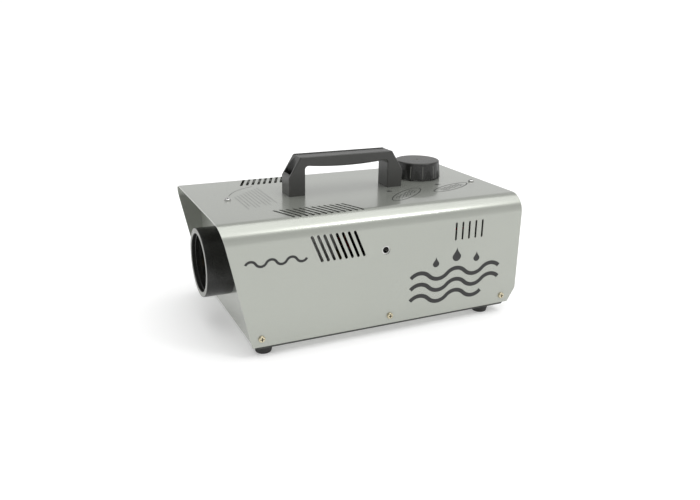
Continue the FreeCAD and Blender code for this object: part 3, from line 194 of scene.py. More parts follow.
def silver_paint():
    """Half-metallic grey whose flakes change its tone and its gloss."""
    material, tree, shader, place = start_material("silver_paint")
    flakes = add_noise(tree, place, FLAKES_PER_METRE, detail=1.0)
    peel = add_noise(tree, place, PEEL_PER_METRE, detail=2.0)
    cloud = add_noise(tree, place, CLOUDS_PER_METRE)
    drift = map_range(tree, cloud, 0.0, 1.0)
    base = mix_colours(tree, drift, shade(PAINT, 0.975), shade(PAINT, 1.02))
    glint = mix_colours(tree, map_range(tree, flakes, 0.0, 1.0, 0.52, 0.75), base, FLAKE)
    tree.links.new(glint, shader.inputs["Base Color"])
    tree.links.new(map_range(tree, flakes, 0.36, 0.24), shader.inputs["Roughness"])
    shader.inputs["Metallic"].default_value = 0.55
    shader.inputs["Coat Weight"].default_value = 0.6
    shader.inputs["Coat Roughness"].default_value = 0.04
    add_bump(tree, shader, peel, 0.02 * MM, strength=0.5)
    return material


FINISHES = {"silver_paint": silver_paint()}
print("paint made:", FINISHES["silver_paint"].name)

# %% [markdown]
# ## The other finishes
# Each row below is one finish of the real machine: its colour, how rough it is at its smoothest
# and dullest, and how coarse its grain is. Black plastic is never fully black: moulded parts
# reflect about four percent of the light and look dark grey on top. The metals differ mostly in
# tint and in how blurred their reflection is.

# %% Plain finishes
# Each row gives the colour, the lowest and highest roughness, how far the colour drifts, the
# grains per metre, their depth in millimetres, the patches per metre, and how metallic it is.
PLAIN_FINISHES = {
    # black plastic and rubber
    "black_abs": ((0.04, 0.04, 0.037), (0.26, 0.40), 0.10, 2600.0, 0.02, 30.0, 0.0),
    "black_gloss": ((0.018, 0.018, 0.018), (0.22, 0.30), 0.06, 1500.0, 0.01, 30.0, 0.0),
    "black_rubber": ((0.022, 0.022, 0.021), (0.62, 0.80), 0.14, 1800.0, 0.05, 60.0, 0.0),
    "shroud_black": ((0.014, 0.014, 0.013), (0.22, 0.34), 0.08, 2200.0, 0.01, 22.0, 0.0),
    # metal
    "zinc_steel": ((0.62, 0.56, 0.40), (0.22, 0.38), 0.10, 1600.0, 0.01, 90.0, 1.0),
    "bright_steel": ((0.62, 0.62, 0.61), (0.20, 0.34), 0.06, 1600.0, 0.01, 80.0, 1.0),
    "shell_steel": ((0.86, 0.86, 0.84), (0.38, 0.55), 0.05, 160.0, 0.02, 18.0, 0.3),
    "cast_aluminium": ((0.52, 0.52, 0.51), (0.45, 0.65), 0.10, 700.0, 0.10, 30.0, 0.9),
    "brass": ((0.62, 0.42, 0.14), (0.22, 0.36), 0.10, 1400.0, 0.01, 60.0, 1.0),
    "copper_pipe": ((0.60, 0.27, 0.15), (0.24, 0.42), 0.14, 900.0, 0.01, 40.0, 1.0),
    # pale plastic, foam and wool
    "tank_plastic": ((0.66, 0.67, 0.62), (0.40, 0.52), 0.03, 600.0, 0.04, 12.0, 0.0),
    "grey_foam": ((0.07, 0.07, 0.07), (0.85, 0.95), 0.25, 1500.0, 0.20, 60.0, 0.0),
    "insulation": ((0.60, 0.57, 0.48), (0.80, 0.95), 0.15, 1100.0, 0.20, 50.0, 0.0),
    "coil_yellow": ((0.48, 0.38, 0.12), (0.35, 0.50), 0.10, 900.0, 0.04, 40.0, 0.0),
    "pump_plastic": ((0.55, 0.54, 0.48), (0.40, 0.52), 0.06, 900.0, 0.03, 40.0, 0.0),
    "clear_hose": ((0.55, 0.56, 0.52), (0.25, 0.35), 0.05, 800.0, 0.02, 40.0, 0.0),
    # the board and other coloured plastic
    "board_green": ((0.02, 0.11, 0.04), (0.25, 0.40), 0.12, 700.0, 0.03, 60.0, 0.0),
    "relay_blue": ((0.02, 0.07, 0.26), (0.28, 0.38), 0.05, 900.0, 0.01, 60.0, 0.0),
    "terminal_green": ((0.05, 0.22, 0.08), (0.40, 0.52), 0.06, 900.0, 0.02, 60.0, 0.0),
    "rocker_red": ((0.42, 0.012, 0.01), (0.20, 0.28), 0.05, 1200.0, 0.01, 60.0, 0.0),
    "wire_red": ((0.42, 0.02, 0.015), (0.38, 0.48), 0.06, 900.0, 0.01, 60.0, 0.0),
    "wire_blue": ((0.02, 0.06, 0.36), (0.38, 0.48), 0.06, 900.0, 0.01, 60.0, 0.0),
    # wear, painted shade, a painted highlight and ink
    "tray_painted_shade": ((0.048, 0.05, 0.046), (0.70, 0.85), 0.10, 1800.0, 0.02, 30.0, 0.0),
    "worn_rim": ((0.27, 0.275, 0.255), (0.35, 0.50), 0.12, 1500.0, 0.02, 60.0, 0.0),
    "print_ink": ((0.018, 0.018, 0.018), (0.45, 0.58), 0.08, 2400.0, 0.01, 90.0, 0.0),
    "painted_shade_black": ((0.016, 0.016, 0.015), (0.22, 0.34), 0.10, 2400.0, 0.02, 40.0, 0.0),
    "recess_painted_shade": ((0.035, 0.034, 0.03), (0.55, 0.70), 0.15, 2400.0, 0.02, 60.0, 0.0),
    "grey_ink": ((0.17, 0.17, 0.165), (0.38, 0.50), 0.08, 2400.0, 0.01, 90.0, 0.0),
    "rubbed_and_highlight_black": ((0.13, 0.132, 0.122), (0.18, 0.28), 0.15, 1600.0, 0.01, 60.0, 0.0),
    "white_ink": ((0.80, 0.80, 0.78), (0.38, 0.50), 0.03, 2400.0, 0.01, 90.0, 0.0),
}
# The fibres of the insulation lie one way, and the board is lacquered.
EXTRAS = {"insulation": {"stretch": (1.0, 0.2, 1.0)}, "board_green": {"coat": 0.3}}
for name, (colour, gloss, drift, grain, depth, patch, metallic) in PLAIN_FINISHES.items():
    FINISHES[name] = surface(name, colour, gloss, drift, grain, depth * MM, patch, metallic,
                             **EXTRAS.get(name, {}))
print("plain finishes made:", len(PLAIN_FINISHES))

# %% [markdown]
# ## Glass and earth wire
# Two finishes need a pattern or a light path of their own. The fuse is a glass tube, so most of the
# light goes through it. Earth wire is green with a yellow stripe by rule, and a wave texture that is
# cut to two colours gives the stripe without any drawing.

# %% Glass and earth wire
def fuse_glass():
    """Clear glass with a faint drift in its gloss."""
    material, tree, shader, place = start_material("fuse_glass")
    ripple = add_noise(tree, place, 300.0, detail=2.0)
    glass = mix_colours(tree, ripple, (0.80, 0.86, 0.84), (0.90, 0.93, 0.92))
    tree.links.new(glass, shader.inputs["Base Color"])
    tree.links.new(map_range(tree, ripple, 0.02, 0.10), shader.inputs["Roughness"])
    shader.inputs["Transmission Weight"].default_value = 0.9
    return material


def wire_earth():
    """Green insulation with yellow stripes."""
    material, tree, shader, place = start_material("wire_earth")
    wave = tree.nodes.new("ShaderNodeTexWave")
    wave.inputs["Scale"].default_value = 140.0
    wave.inputs["Distortion"].default_value = 1.5
    tree.links.new(place, wave.inputs["Vector"])
    stripe = map_range(tree, wave.outputs["Fac"], 0.0, 1.0, 0.45, 0.55)
    striped = mix_colours(tree, stripe, (0.04, 0.26, 0.03), (0.62, 0.55, 0.03))
    tree.links.new(striped, shader.inputs["Base Color"])
    gloss = map_range(tree, add_noise(tree, place, 900.0), 0.38, 0.48)
    tree.links.new(gloss, shader.inputs["Roughness"])
    return material


FINISHES["fuse_glass"] = fuse_glass()
FINISHES["wire_earth"] = wire_earth()
print("finishes made:", len(FINISHES))

# %% [markdown]
# ## Softening the CAD parts
# CAD edges are perfectly sharp, and sharp edges never catch the light as real ones do. A folded
# sheet has a worn cut edge, and a moulded part has a small radius. The parts could all be drawn
# again, but their shape is already exact. So each visible part is copied, its loose triangles
# are welded, its flat faces are joined, and only its sharp edges get a narrow bevel.

# %% Soften a CAD part
SLOT_OF = {entry["node"]: entry["material_slot"] for entry in frame["record"]["subparts"]}
BODIES = frame["record"]["behaviour"]["bodies"]
BODY_OF = {node: body for body, nodes in BODIES.items() for node in nodes}
WELD = 0.004 * MM
FLAT = math.radians(0.4)
SHARP = math.radians(32)
FLAT_FACE_WEIGHT = 80


def new_piece(name, mesh, body, finish, replaces=None):
    """Put a finished mesh in the scene, on its body if it has one, and with its finish."""
    piece = bpy.data.objects.new(name, mesh)
    bpy.context.scene.collection.objects.link(piece)
    mesh.materials.clear()
    mesh.materials.append(FINISHES[finish])
    if body:
        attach(piece, body)
    if replaces:
        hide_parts(replaces)
    return piece


def smooth_mesh(bm, name):
    """Write a bmesh to a mesh that is smooth except at its sharp edges."""
    mesh = bpy.data.meshes.new(name)
    for face in bm.faces:
        face.smooth = True
    bm.to_mesh(mesh)
    bm.free()
    mesh.set_sharp_from_angle(angle=SHARP)
    return mesh


def keep_flats_flat(piece):
    """Let large flat faces rule the normals, so the narrow bevels beside them can't shade them."""
    weigh = piece.modifiers.new("weigh_normals", "WEIGHTED_NORMAL")
    weigh.mode = "FACE_AREA"
    weigh.weight = FLAT_FACE_WEIGHT
    weigh.keep_sharp = True


def soften(node, width, rides=True):
    """Copy a CAD node with narrow round edges, and let the copy stand for it.

    With a width of zero only its round faces turn smooth. When rides is false, the copy rides on no
    body."""
    body = BODY_OF[node] if rides else None
    bm = bmesh.new()
    bm.from_mesh(frame["nodes"][node].data)
    bmesh.ops.remove_doubles(bm, verts=bm.verts, dist=WELD)
    bmesh.ops.dissolve_limit(bm, angle_limit=FLAT, verts=bm.verts, edges=bm.edges)
    edges = [e for e in bm.edges if e.is_manifold and e.calc_face_angle(0) > SHARP]
    if edges and width:
        bmesh.ops.bevel(bm, geom=edges, offset=width, offset_type="OFFSET", segments=2, profile=0.5,
                        affect="EDGES", clamp_overlap=True, material=-1, loop_slide=True)
    name = node + "_finished"
    piece = new_piece(name, smooth_mesh(bm, name), body, SLOT_OF[node], node)
    keep_flats_flat(piece)
    return piece


# %% [markdown]
# ## Which parts are softened
# The bevel follows the process that made each part. Punched and folded sheet gets under a fifth of
# a millimetre, moulded plastic and rubber up to a third, and screws only a fine broken edge.

# %% Soften them all
EDGE_WIDTHS = {
    "cover": 0.18, "chassis": 0.18, "carry_handle": 0.25, "filler_cap": 0.25, "rubber_feet": 0.3,
    "nozzle_shroud": 0.2, "spray_nozzle": 0.15, "heater_shell": 0.12, "mains_inlet": 0.2,
    "fuse_drawer": 0.15, "switch_housing": 0.15, "switch_rocker": 0.2, "remote_socket": 0.15,
    "remote_insert": 0.1, "bracket_nuts": 0.15, "cover_side_screws": 0.06, "cover_top_screws": 0.06,
    "panel_screws": 0.05, "handle_screws": 0.06, "feet_screws": 0.06, "inlet_pins": 0.15,
    "cap_seal": 0.1, "fluid_tank": 0.2,
}
for node, width in EDGE_WIDTHS.items():
    piece = soften(node, width * MM)
    print(node, "has", len(piece.data.polygons), "faces")

# %% [markdown]
# ## The parts inside the case
# The heater, pump, tank and wires can be seen only through the slots, or when the case is drawn
# open. They need no bevels, but a pipe that shows its facets gives the model away. So each one is
# copied and welded with a width of zero, which only makes its round faces smooth.

# %% Smooth the hidden parts
for node in frame["nodes"]:
    if node not in EDGE_WIDTHS and node != "pump_spring":
        soften(node, 0.0)
print("parts smoothed:", len(frame["nodes"]) - len(EDGE_WIDTHS) - 1)

# %% [markdown]
# ## The spring of the pump
# The plunger's spring stands still at one end and is pushed at the other. Riding on either body would
# leave its other end behind, so it rides on neither and stays where the CAD puts it, smoothed like the
# other hidden parts.

# %% Smooth the spring
spring = soften("pump_spring", 0.0, rides=False)
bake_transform(spring)

# %% [markdown]
# ## Two finishes on one part
# The collar round the fog outlet is black, but its front face has been rubbed down to a lighter grey.
# The folded edge of the tray under the cover gets a near-black finish, which is painted shade: it
# stands for the shadow under the cover's edge and on the bend that turns down to the floor. A second
# material on chosen faces is enough for that. The faces are picked by where they are and which way they
# face, so a later change of the CAD needs no new face numbers.

# %% Second finishes
RIM_FACING = -0.9
RIM_DEPTH = 1.0 * MM
TRAY_BEND = 6.0 * MM


def paint_faces(piece, finish, chosen):
    """Give a second finish to the faces that a test picks."""
    piece.data.materials.append(FINISHES[finish])
    count = 0
    for face in piece.data.polygons:
        if chosen(face):
            face.material_index = 1
            count += 1
    print(piece.name, "has", count, "faces in", finish)


collar = bpy.data.objects["nozzle_shroud_finished"]
collar_low, collar_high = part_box("nozzle_shroud")
paint_faces(collar, "worn_rim",
            lambda face: face.normal.y < RIM_FACING and face.center.y < collar_low.y + RIM_DEPTH)
# Painted shade: the tray's folded edge under the cover gets a near-black finish for its shadow.
paint_faces(bpy.data.objects["chassis_finished"], "tray_painted_shade",
            lambda face: face.center.z < cover_low.z and abs(face.center.x) > SIDE_X - TRAY_BEND)

# %% [markdown]
# ## Painted shade in the crosses of the screws
# The cross in a screw head is full of shadow and reads nearly black beside the bright plating. That
# shadow is painted shade: a second finish on faces of the same part, those that are close to a screw's
# axis, above the sheet and below the top of the head. Every head stands on the sheet, so one test that
# measures from there serves the sides and the top.

# %% Screw recesses
RECESS_REACH = 2.25 * MM
RECESS_FROM = 0.3 * MM
RECESS_TO = 2.0 * MM
SIDE_SCREW_Y = (-134.8 * MM, 7.6 * MM, 151.9 * MM)
SIDE_SCREW_Z = 21.0 * MM
SIDE_AXES = [(y, SIDE_SCREW_Z) for y in SIDE_SCREW_Y]
TOP_AXES = [(0.0, -136.4 * MM), (22.0 * MM, 154.5 * MM)]


def in_recess(height, point, axes):
    """Whether a face this far above the sheet, at this point of it, lies in a screw's cross."""
    near = any(math.dist(point, axis) < RECESS_REACH for axis in axes)
    return near and RECESS_FROM < height < RECESS_TO


# Painted shade in the crosses of the side and top screws.
paint_faces(bpy.data.objects["cover_side_screws_finished"], "recess_painted_shade",
            lambda face: in_recess(abs(face.center.x) - SIDE_X, face.center.yz, SIDE_AXES))
paint_faces(bpy.data.objects["cover_top_screws_finished"], "recess_painted_shade",
            lambda face: in_recess(face.center.z - TOP_Z, face.center.xy, TOP_AXES))

# %% [markdown]
# ## Painted shade in the handle pockets and on the cap grip
# The handle is hollow at both ends, where its screws sit, and its pockets are deep enough to stay black
# in their own shadow. That shadow is painted, as a near-black finish on their walls and floor. The side
# of the filler cap gets the same finish: painted shade that makes it darker than its top, where the
# light from above falls. Slope and place pick both: the walls and floor of a pocket lie inside the
# outline of the handle, and the grip is whatever on the cap doesn't face up or down.

# %% Pockets and grip
GRIP_SLOPE = 0.6
WALL_SLOPE = 0.1
POCKET_HALF = 9.3 * MM
POCKET_Y = (50.6 * MM, 67.0 * MM)
POCKET_FLOOR = 8.5 * MM
HANDLE_FOOT = 1.0 * MM


def in_pocket(face):
    """The walls and floor of the screw pockets at the two ends of the handle."""
    above = face.center.z - TOP_Z
    wall_or_floor = abs(face.normal.z) < WALL_SLOPE or above < POCKET_FLOOR
    along = abs(face.center.y - HANDLE_Y)
    inside = abs(face.center.x) < POCKET_HALF and POCKET_Y[0] < along < POCKET_Y[1]
    return wall_or_floor and above > HANDLE_FOOT and inside


# Painted shade: the walls and floor of the pockets get a near-black finish for the shadow inside them.
paint_faces(bpy.data.objects["carry_handle_finished"], "painted_shade_black", in_pocket)
# Painted shade: the side of the cap is made darker than its top, which the light from above falls on.
paint_faces(bpy.data.objects["filler_cap_finished"], "painted_shade_black",
            lambda face: abs(face.normal.z) < GRIP_SLOPE)

# %% [markdown]
# ## Rings inside the collar
# The collar is moulded with shallow rings inside, which break up the light in its bore. Each is a
# low rib with sloping sides. Its closed section is spun a full turn round the axis of the outlet,
# and the spin merges its ends, so the ring is closed too.

# %% Collar rings
RING_COUNT = 4
RING_FIRST = 4.0 * MM
RING_PITCH = 5.0 * MM
RING_HEIGHT = 0.7 * MM
RING_SLOPE = 0.5 * MM
RING_WIDTH = 1.8 * MM
COLLAR_BORE = 31.3 * MM
COLLAR_MIDDLE = (collar_low + collar_high) / 2


def collar_rings():
    """All the rings in one piece, from the mouth of the collar inwards."""
    bm = bmesh.new()
    crest = COLLAR_BORE - RING_HEIGHT
    profile = [(0.0, COLLAR_BORE), (RING_SLOPE, crest), (RING_WIDTH - RING_SLOPE, crest),
               (RING_WIDTH, COLLAR_BORE)]
    for index in range(RING_COUNT):
        y = collar_low.y + RING_FIRST + index * RING_PITCH
        verts = [bm.verts.new((0.0, y + along, COLLAR_MIDDLE.z + out)) for along, out in profile]
        edges = [bm.edges.new(pair) for pair in zip(verts, verts[1:] + verts[:1])]
        bmesh.ops.spin(bm, geom=verts + edges, cent=(0.0, 0.0, COLLAR_MIDDLE.z), axis=(0.0, 1.0, 0.0),
                       angle=math.tau, steps=96, use_merge=True)
    bmesh.ops.recalc_face_normals(bm, faces=bm.faces)
    mesh = smooth_mesh(bm, "collar_rings")
    return new_piece("collar_rings", mesh, BODY_OF["nozzle_shroud"], "shroud_black")


print("collar rings:", len(collar_rings().data.polygons), "faces")

# %% [markdown]
# ## Printed marks
# The maker prints marks on the sides and top in dark ink. Here they are wordless signs of the
# same size and place: waves of mist and falling drops. Ink is a thin layer, so each mark is a flat
# shape raised by a few hundredths of a millimetre. A wave is drawn as a signwriter would: a short
# edge as wide as the stroke is swung round one centre, then round the next on the other side.

# %% Ink helpers
INK_LIFT = 0.01 * MM
INK_THICK = 0.05 * MM
ARC_STEPS = 10
DROP_TIP = 0.9


def left_of(heading):
    """The direction square to the left of a heading in the flat."""
    return Vector((-math.sin(heading), math.cos(heading), 0.0))


def add_wave(bm, start, stroke, radius, swing, halves):
    """A wavy stroke of some half waves, from a start point along +X in the flat.

    Lengths are in millimetres. swing is the angle at which the stroke crosses its middle line."""
    heading = math.radians(swing)
    place = Vector((start[0], start[1], 0.0)) * MM
    ends = [bm.verts.new(place + left_of(heading) * (side * stroke * MM / 2)) for side in (-1, 1)]
    last = ends + [bm.edges.new(ends)]
    for index in range(halves):
        bend = -1 if index % 2 == 0 else 1
        centre = place + left_of(heading) * (bend * radius * MM)
        angle = bend * 2 * math.radians(swing)
        spun = bmesh.ops.spin(bm, geom=last, cent=centre, axis=(0.0, 0.0, 1.0), angle=angle,
                              steps=ARC_STEPS, use_merge=False)
        last = spun["geom_last"]
        place = centre + Matrix.Rotation(angle, 3, "Z") @ (place - centre)
        heading += angle


def add_drop(bm, middle, radius):
    """A drop: a disc whose top is pulled up to a point."""
    made = bmesh.ops.create_circle(bm, cap_ends=True, segments=32, radius=radius * MM)["verts"]
    for vert in made:
        lift = max(0.0, vert.co.y / (radius * MM))
        vert.co.x *= 1 - lift ** 2
        vert.co.y += lift ** 3 * radius * MM * DROP_TIP
    bmesh.ops.translate(bm, verts=made, vec=(middle[0] * MM, middle[1] * MM, 0.0))


def add_oval(bm, half_long, half_wide, stroke, segments=64):
    """An oval outline of even stroke: a disc whose inset face is taken out."""
    made = bmesh.ops.create_circle(bm, cap_ends=True, segments=segments, radius=1.0)["verts"]
    bmesh.ops.scale(bm, verts=made, vec=(half_long * MM, half_wide * MM, 1.0))
    face = made[0].link_faces[0]
    bmesh.ops.inset_region(bm, faces=[face], thickness=stroke * MM, use_boundary=True,
                           use_even_offset=True)
    bmesh.ops.delete(bm, geom=[face], context="FACES_ONLY")


def ink(name, bm, placement, finish="print_ink", body="machine"):
    """Lift the flat marks to a thin layer and lay them on the part."""
    bmesh.ops.recalc_face_normals(bm, faces=bm.faces)
    for face in bm.faces:
        if face.normal.z < 0:
            face.normal_flip()
    grown = bmesh.ops.extrude_face_region(bm, geom=bm.faces[:])["geom"]
    bmesh.ops.translate(bm, verts=[v for v in grown if isinstance(v, bmesh.types.BMVert)],
                        vec=(0.0, 0.0, INK_THICK))
    bmesh.ops.recalc_face_normals(bm, faces=bm.faces)
    bmesh.ops.transform(bm, matrix=placement, verts=bm.verts)
    piece = new_piece(name, smooth_mesh(bm, name), body, finish)
    print(name, "has", len(piece.data.polygons), "faces")


# %% [markdown]
# ## Marks on the two sides
# Each side has a single wave near the front and a larger sign near the rear, three drops over three
# waves. Both sides read the right way round, so the flat drawing isn't mirrored: a matrix turns it
# to face outwards, and only the places along the case change sign.

# %% Marks on the two sides
BAND_START = {1: -149.0, -1: 87.0}
BAND_HEIGHT = 99.5
SIGN_MIDDLE = 88.0
SIGN_DROPS = ((-26.0, 72.0, 4.0), (0.0, 77.0, 5.5), (26.0, 72.0, 4.0))
SIGN_LEFT_END = -56.5
SIGN_TOP_ROW = 59.0
SIGN_PITCH = 13.0
SIGN_HALVES = (5, 5, 4)


def side_placement(side):
    """Flat X runs towards the rear on the +X side and towards the front on the other, flat Y is
    up, and the face looks outwards."""
    out = side * (SIDE_X + INK_LIFT)
    return Matrix(((0, 0, side, out), (side, 0, 0, 0), (0, 1, 0, 0), (0, 0, 0, 1)))


def side_marks(side):
    """The two marks of one side: 1 is the +X side and -1 the other."""
    label = "right" if side > 0 else "left"
    bm = bmesh.new()
    add_wave(bm, (BAND_START[side], BAND_HEIGHT), stroke=2.6, radius=6.0, swing=60, halves=6)
    ink("mist_band_" + label, bm, side_placement(side))
    middle = SIGN_MIDDLE * side
    bm = bmesh.new()
    for across, height, radius in SIGN_DROPS:
        add_drop(bm, (middle + across, height), radius)
    for row, halves in enumerate(SIGN_HALVES):
        start = (middle + SIGN_LEFT_END, SIGN_TOP_ROW - SIGN_PITCH * row)
        add_wave(bm, start, stroke=4.6, radius=16.0, swing=45, halves=halves)
    ink("mist_sign_" + label, bm, side_placement(side))


side_marks(1)
side_marks(-1)

# %% [markdown]
# ## Marks on the top
# The top has two oval signs on the right towards the rear, each with a small drop beside it. Near
# the front it has fine ruled lines with a thin arc along their left ends. An oval is drawn flat
# round its own middle and then turned and moved, because an outline is easier to size when it lies
# straight. The ruled lines are square to the case, so they are drawn in their place.

# %% Marks on the top
OVAL_STROKE = 1.2
OVAL_ROWS = (-3.2, 0.0, 3.2)
OVAL_FILL = 0.62
RULED_COUNT = 9
RULED_FIRST = Vector((-10.0, -126.0, 0.0)) * MM
RULED_LAST = Vector((-40.0, -92.0, 0.0)) * MM
RULED_LENGTHS = (52.0 * MM, 70.0 * MM)
RULED_SHORTER = 9.0 * MM
RULED_STROKE = 0.7 * MM
DROP_RADIUS = 2.6
DROP_TURN = -35.0


def top_placement(x, y, turn):
    """Flat marks are turned by some degrees and moved to a place on the top in millimetres."""
    move = Matrix.Translation((x * MM, y * MM, TOP_Z + INK_LIFT))
    return move @ Matrix.Rotation(math.radians(turn), 4, "Z")


def oval_sign(name, x, y, turn, half_long, half_wide):
    """An oval with three rows of waves in it."""
    bm = bmesh.new()
    add_oval(bm, half_long, half_wide, OVAL_STROKE)
    for row in OVAL_ROWS:
        add_wave(bm, (-half_long * OVAL_FILL, row), stroke=0.9, radius=5.0, swing=35, halves=7)
    ink(name, bm, top_placement(x, y, turn))


def ruled_lines():
    """Fine lines that start further left and grow longer from row to row. Every third is short."""
    bm = bmesh.new()
    for row in range(RULED_COUNT):
        share = row / (RULED_COUNT - 1)
        length = RULED_LENGTHS[0] + (RULED_LENGTHS[1] - RULED_LENGTHS[0]) * share
        if row % 3 == 1:
            length -= RULED_SHORTER
        middle = RULED_FIRST.lerp(RULED_LAST, share) + Vector((length / 2, 0.0, 0.0))
        made = bmesh.ops.create_grid(bm, x_segments=1, y_segments=1, size=0.5)["verts"]
        bmesh.ops.scale(bm, verts=made, vec=(length, RULED_STROKE, 1.0))
        bmesh.ops.translate(bm, verts=made, vec=middle)
    ink("ruled_lines", bm, top_placement(x=0.0, y=0.0, turn=0.0), "grey_ink")


def label_arc():
    """One long thin curve along the left ends of the ruled lines."""
    bm = bmesh.new()
    add_wave(bm, (0.0, 0.0), stroke=0.6, radius=58.0, swing=25, halves=1)
    ink("label_arc", bm, top_placement(x=-14.6, y=-131.0, turn=132.5))


def small_drop(name, x, y):
    """A drop beside one of the ovals."""
    bm = bmesh.new()
    add_drop(bm, (0.0, 0.0), DROP_RADIUS)
    ink(name, bm, top_placement(x, y, DROP_TURN))


oval_sign("wave_oval_front", x=46.8, y=52.9, turn=126.8, half_long=33.0, half_wide=10.0)
oval_sign("wave_oval_rear", x=37.1, y=116.5, turn=112.6, half_long=31.5, half_wide=9.0)
small_drop("drop_front", x=28.0, y=40.5)
small_drop("drop_rear", x=20.3, y=108.0)
ruled_lines()
label_arc()

# %% [markdown]
# ## Marks on the rocker
# A mains rocker carries a bar for on and a ring for off, each on its own half of a face that is
# folded at a crease. They are the usual signs, raised a few hundredths of a millimetre, and they
# ride on the rocker so that they tip with it. The crease is placed from the rocker's hinge.

# %% Rocker marks
JOINTS = {joint["name"]: joint for joint in frame["record"]["behaviour"]["joints"]}
ROCKER_CREASE = Vector(JOINTS["switch_rock"]["pos_m"]) + Vector((0.0, 2.93, -0.62)) * MM
ROCKER_FOLD = math.radians(24)
BAR_SIZE = (0.6 * MM, 3.2 * MM, 1.0)
FACING_REAR = Matrix(((-1, 0, 0, 0), (0, 0, 1, 0), (0, 1, 0, 0), (0, 0, 0, 1)))


def rocker_mark(name, bm, height, tip):
    """Lay a mark on the rocker's face above or below its crease."""
    lay = (Matrix.Translation(ROCKER_CREASE) @ Matrix.Rotation(-tip, 4, "X") @ FACING_REAR
           @ Matrix.Translation((0.0, height * MM, INK_LIFT)))
    ink(name, bm, lay, "white_ink", "rocker")


bar = bmesh.new()
bar_verts = bmesh.ops.create_grid(bar, x_segments=1, y_segments=1, size=0.5)["verts"]
bmesh.ops.scale(bar, verts=bar_verts, vec=BAR_SIZE)
rocker_mark("rocker_bar", bar, height=4.2, tip=ROCKER_FOLD)
off_ring = bmesh.new()
add_oval(off_ring, half_long=1.7, half_wide=1.7, stroke=0.45, segments=32)
rocker_mark("rocker_ring", off_ring, height=-4.4, tip=0.0)

# %% [markdown]
# ## Ribs on the filler cap
# Between its shallow flutes the cap has narrow ribs, polished by hands, and each one catches a thin
# line of light. Their finish is lighter than the black cap, partly for the rub of hands and partly as a
# painted highlight. A bar is leaned to the taper of the cap and turned to each of the twelve places,
# and then one bevel rounds them all. The ribs ride on the cap, so they turn and lift with it.

# %% Cap ribs
RIB_COUNT = 12
RIB_SIZE = (1.1 * MM, 1.2 * MM, 14.5 * MM)
RIB_REACH = 27.55 * MM
RIB_RAISE = 8.6 * MM
RIB_LEAN = math.radians(5.8)
RIB_ROUND = 0.4 * MM


def cap_ribs():
    """All the ribs in one piece, round the middle of the cap."""
    bm = bmesh.new()
    for index in range(RIB_COUNT):
        made = bmesh.ops.create_cube(bm, size=1.0)["verts"]
        bmesh.ops.scale(bm, verts=made, vec=RIB_SIZE)
        turn = math.tau * (index + 0.5) / RIB_COUNT
        place = (Matrix.Translation((CAP_MIDDLE.x, CAP_MIDDLE.y, cap_low.z + RIB_RAISE))
                 @ Matrix.Rotation(turn, 4, "Z") @ Matrix.Translation((RIB_REACH, 0.0, 0.0))
                 @ Matrix.Rotation(-RIB_LEAN, 4, "Y"))
        bmesh.ops.transform(bm, matrix=place, verts=made)
    bmesh.ops.bevel(bm, geom=bm.edges[:], offset=RIB_ROUND, offset_type="OFFSET", segments=3,
                    profile=0.5, affect="EDGES", clamp_overlap=True, material=-1)
    mesh = smooth_mesh(bm, "cap_ribs")
    # The ribs' lighter finish is partly wear and partly a painted highlight.
    return new_piece("cap_ribs", mesh, BODY_OF["filler_cap"], "rubbed_and_highlight_black")


print("cap ribs:", len(cap_ribs().data.polygons), "faces")

# %% [markdown]
# ## The floor
# The machine stands on a plain pale floor, as goods do in a catalogue. Lit only from above, such a
# floor comes out light grey. It also glows a little, which takes it to white and leaves a faint
# soft shadow. The glow stays weak, because it lights the sides of the case from below.

# %% Floor
FLOOR_REACH = 60.0
FLOOR_GLOW = 0.30


def pale_floor():
    """One large flat square that is part of the stage and not of the machine."""
    bm = bmesh.new()
    bmesh.ops.create_grid(bm, x_segments=1, y_segments=1, size=FLOOR_REACH)
    mesh = bpy.data.meshes.new("floor")
    bm.to_mesh(mesh)
    bm.free()
    floor = bpy.data.objects.new("floor", mesh)
    bpy.context.scene.collection.objects.link(floor)
    finish = surface("pale_floor", (0.80, 0.80, 0.80), gloss=(0.7, 0.9), drift=0.004, grain=60.0,
                     bump=0.0, patch=2.0)
    shader = finish.node_tree.nodes["Principled BSDF"]
    shader.inputs["Emission Color"].default_value = (1.0, 1.0, 1.0, 1.0)
    shader.inputs["Emission Strength"].default_value = FLOOR_GLOW
    floor.data.materials.append(finish)


pale_floor()
print("floor reaches", FLOOR_REACH, "m each way")

# %% [markdown]
# ## The camera
# The camera stands to the right and a little in front, and looks down on the machine. Its aim is
# given by a turn round the vertical and a drop below the horizon, because two angles are easier to
# read and to adjust than a matrix. A last small roll tips the picture by about one degree.

# %% Camera
CAMERA_PLACE = Vector((0.6923, -0.3212, 0.3274))
CAMERA_AZIMUTH = math.radians(64.646)
CAMERA_DROP = math.radians(19.044)
CAMERA_ROLL = math.radians(0.968)
LENS = 35.67


def add_camera():
    """The scene's camera, aimed by its azimuth, drop and roll."""
    data = bpy.data.cameras.new("camera")
    data.lens = LENS
    data.sensor_width = 36.0
    data.clip_start = 0.01
    camera = bpy.data.objects.new("camera", data)
    bpy.context.scene.collection.objects.link(camera)
    aim = Vector((-math.sin(CAMERA_AZIMUTH) * math.cos(CAMERA_DROP),
                  math.cos(CAMERA_AZIMUTH) * math.cos(CAMERA_DROP), -math.sin(CAMERA_DROP)))
    turn = aim.to_track_quat("-Z", "Y").to_matrix().to_4x4()
    camera.matrix_world = Matrix.Translation(CAMERA_PLACE) @ turn @ Matrix.Rotation(CAMERA_ROLL, 4, "Z")
    bpy.context.scene.camera = camera


add_camera()
print("camera is", round(CAMERA_PLACE.length, 3), "m from the middle of the base")

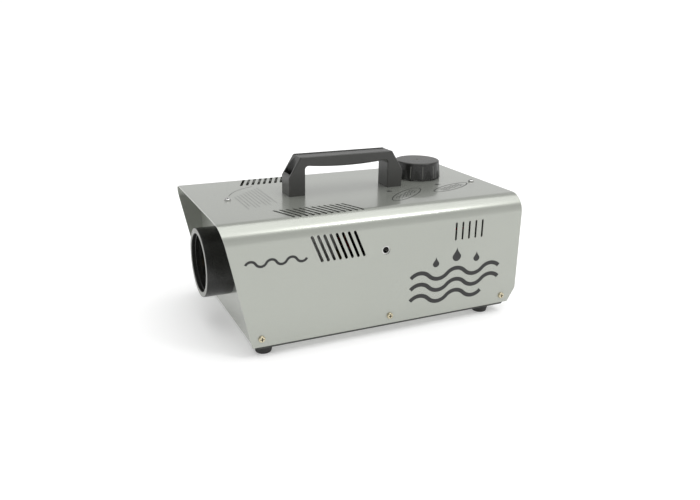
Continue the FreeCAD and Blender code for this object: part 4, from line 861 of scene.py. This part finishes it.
# %% [markdown]
# ## The soft lights
# One very broad soft light hangs above, and a small weak one stands behind and to the side, where
# the bend of the cover mirrors it to the camera as a narrow bright line. A sun with a wide angle
# is equally strong everywhere, so the floor has no bright pool in the middle. The world fills the
# rest. It is brighter near the horizon, which is what the flat top mirrors, and it is dimmer than
# it looks, so that the recess under the hood stays dark.

# %% Lights
BROAD_FROM = Vector((0.06, 0.14, 0.99))
BROAD_POWER = 1.95
BROAD_ANGLE = math.radians(72)
KEY_FROM = Vector((0.50, 0.45, 0.73))
KEY_POWER = 0.42
KEY_ANGLE = math.radians(13)
SKY_LOW = 0.85            # brightness near the horizon
SKY_HIGH = 0.36           # brightness further up
SKY_BAND = (0.15, 0.65)   # how high the one turns into the other, as the height of a direction
WORLD_SEEN = 1.05         # brightness of the background itself


def add_sun(name, source, power, angle):
    """A sun that shines from a direction. The wider its angle, the softer its shadows."""
    data = bpy.data.lights.new(name, "SUN")
    data.energy = power
    data.angle = angle
    light = bpy.data.objects.new(name, data)
    bpy.context.scene.collection.objects.link(light)
    light.matrix_world = (-source).to_track_quat("-Z", "Y").to_matrix().to_4x4()


def add_world():
    """A white sky, brighter near the horizon and evenly bright where the camera sees it."""
    world = bpy.data.worlds.new("studio")
    world.use_nodes = True
    tree = world.node_tree
    background = tree.nodes["Background"]
    background.inputs["Color"].default_value = (1.0, 1.0, 1.0, 1.0)
    sky = tree.nodes.new("ShaderNodeTexCoord")
    height = tree.nodes.new("ShaderNodeSeparateXYZ")
    tree.links.new(sky.outputs["Generated"], height.inputs["Vector"])
    glow = map_range(tree, height.outputs["Z"], SKY_LOW, SKY_HIGH, *SKY_BAND)
    path = tree.nodes.new("ShaderNodeLightPath")
    blend = tree.nodes.new("ShaderNodeMix")
    blend.inputs["B"].default_value = WORLD_SEEN
    tree.links.new(path.outputs["Is Camera Ray"], blend.inputs["Factor"])
    tree.links.new(glow, blend.inputs["A"])
    tree.links.new(blend.outputs["Result"], background.inputs["Strength"])
    bpy.context.scene.world = world
    bpy.context.scene.view_settings.view_transform = "Standard"


add_sun("overhead", BROAD_FROM, BROAD_POWER, BROAD_ANGLE)
add_sun("key", KEY_FROM, KEY_POWER, KEY_ANGLE)
add_world()
print("lights:", [light.name for light in bpy.data.lights])
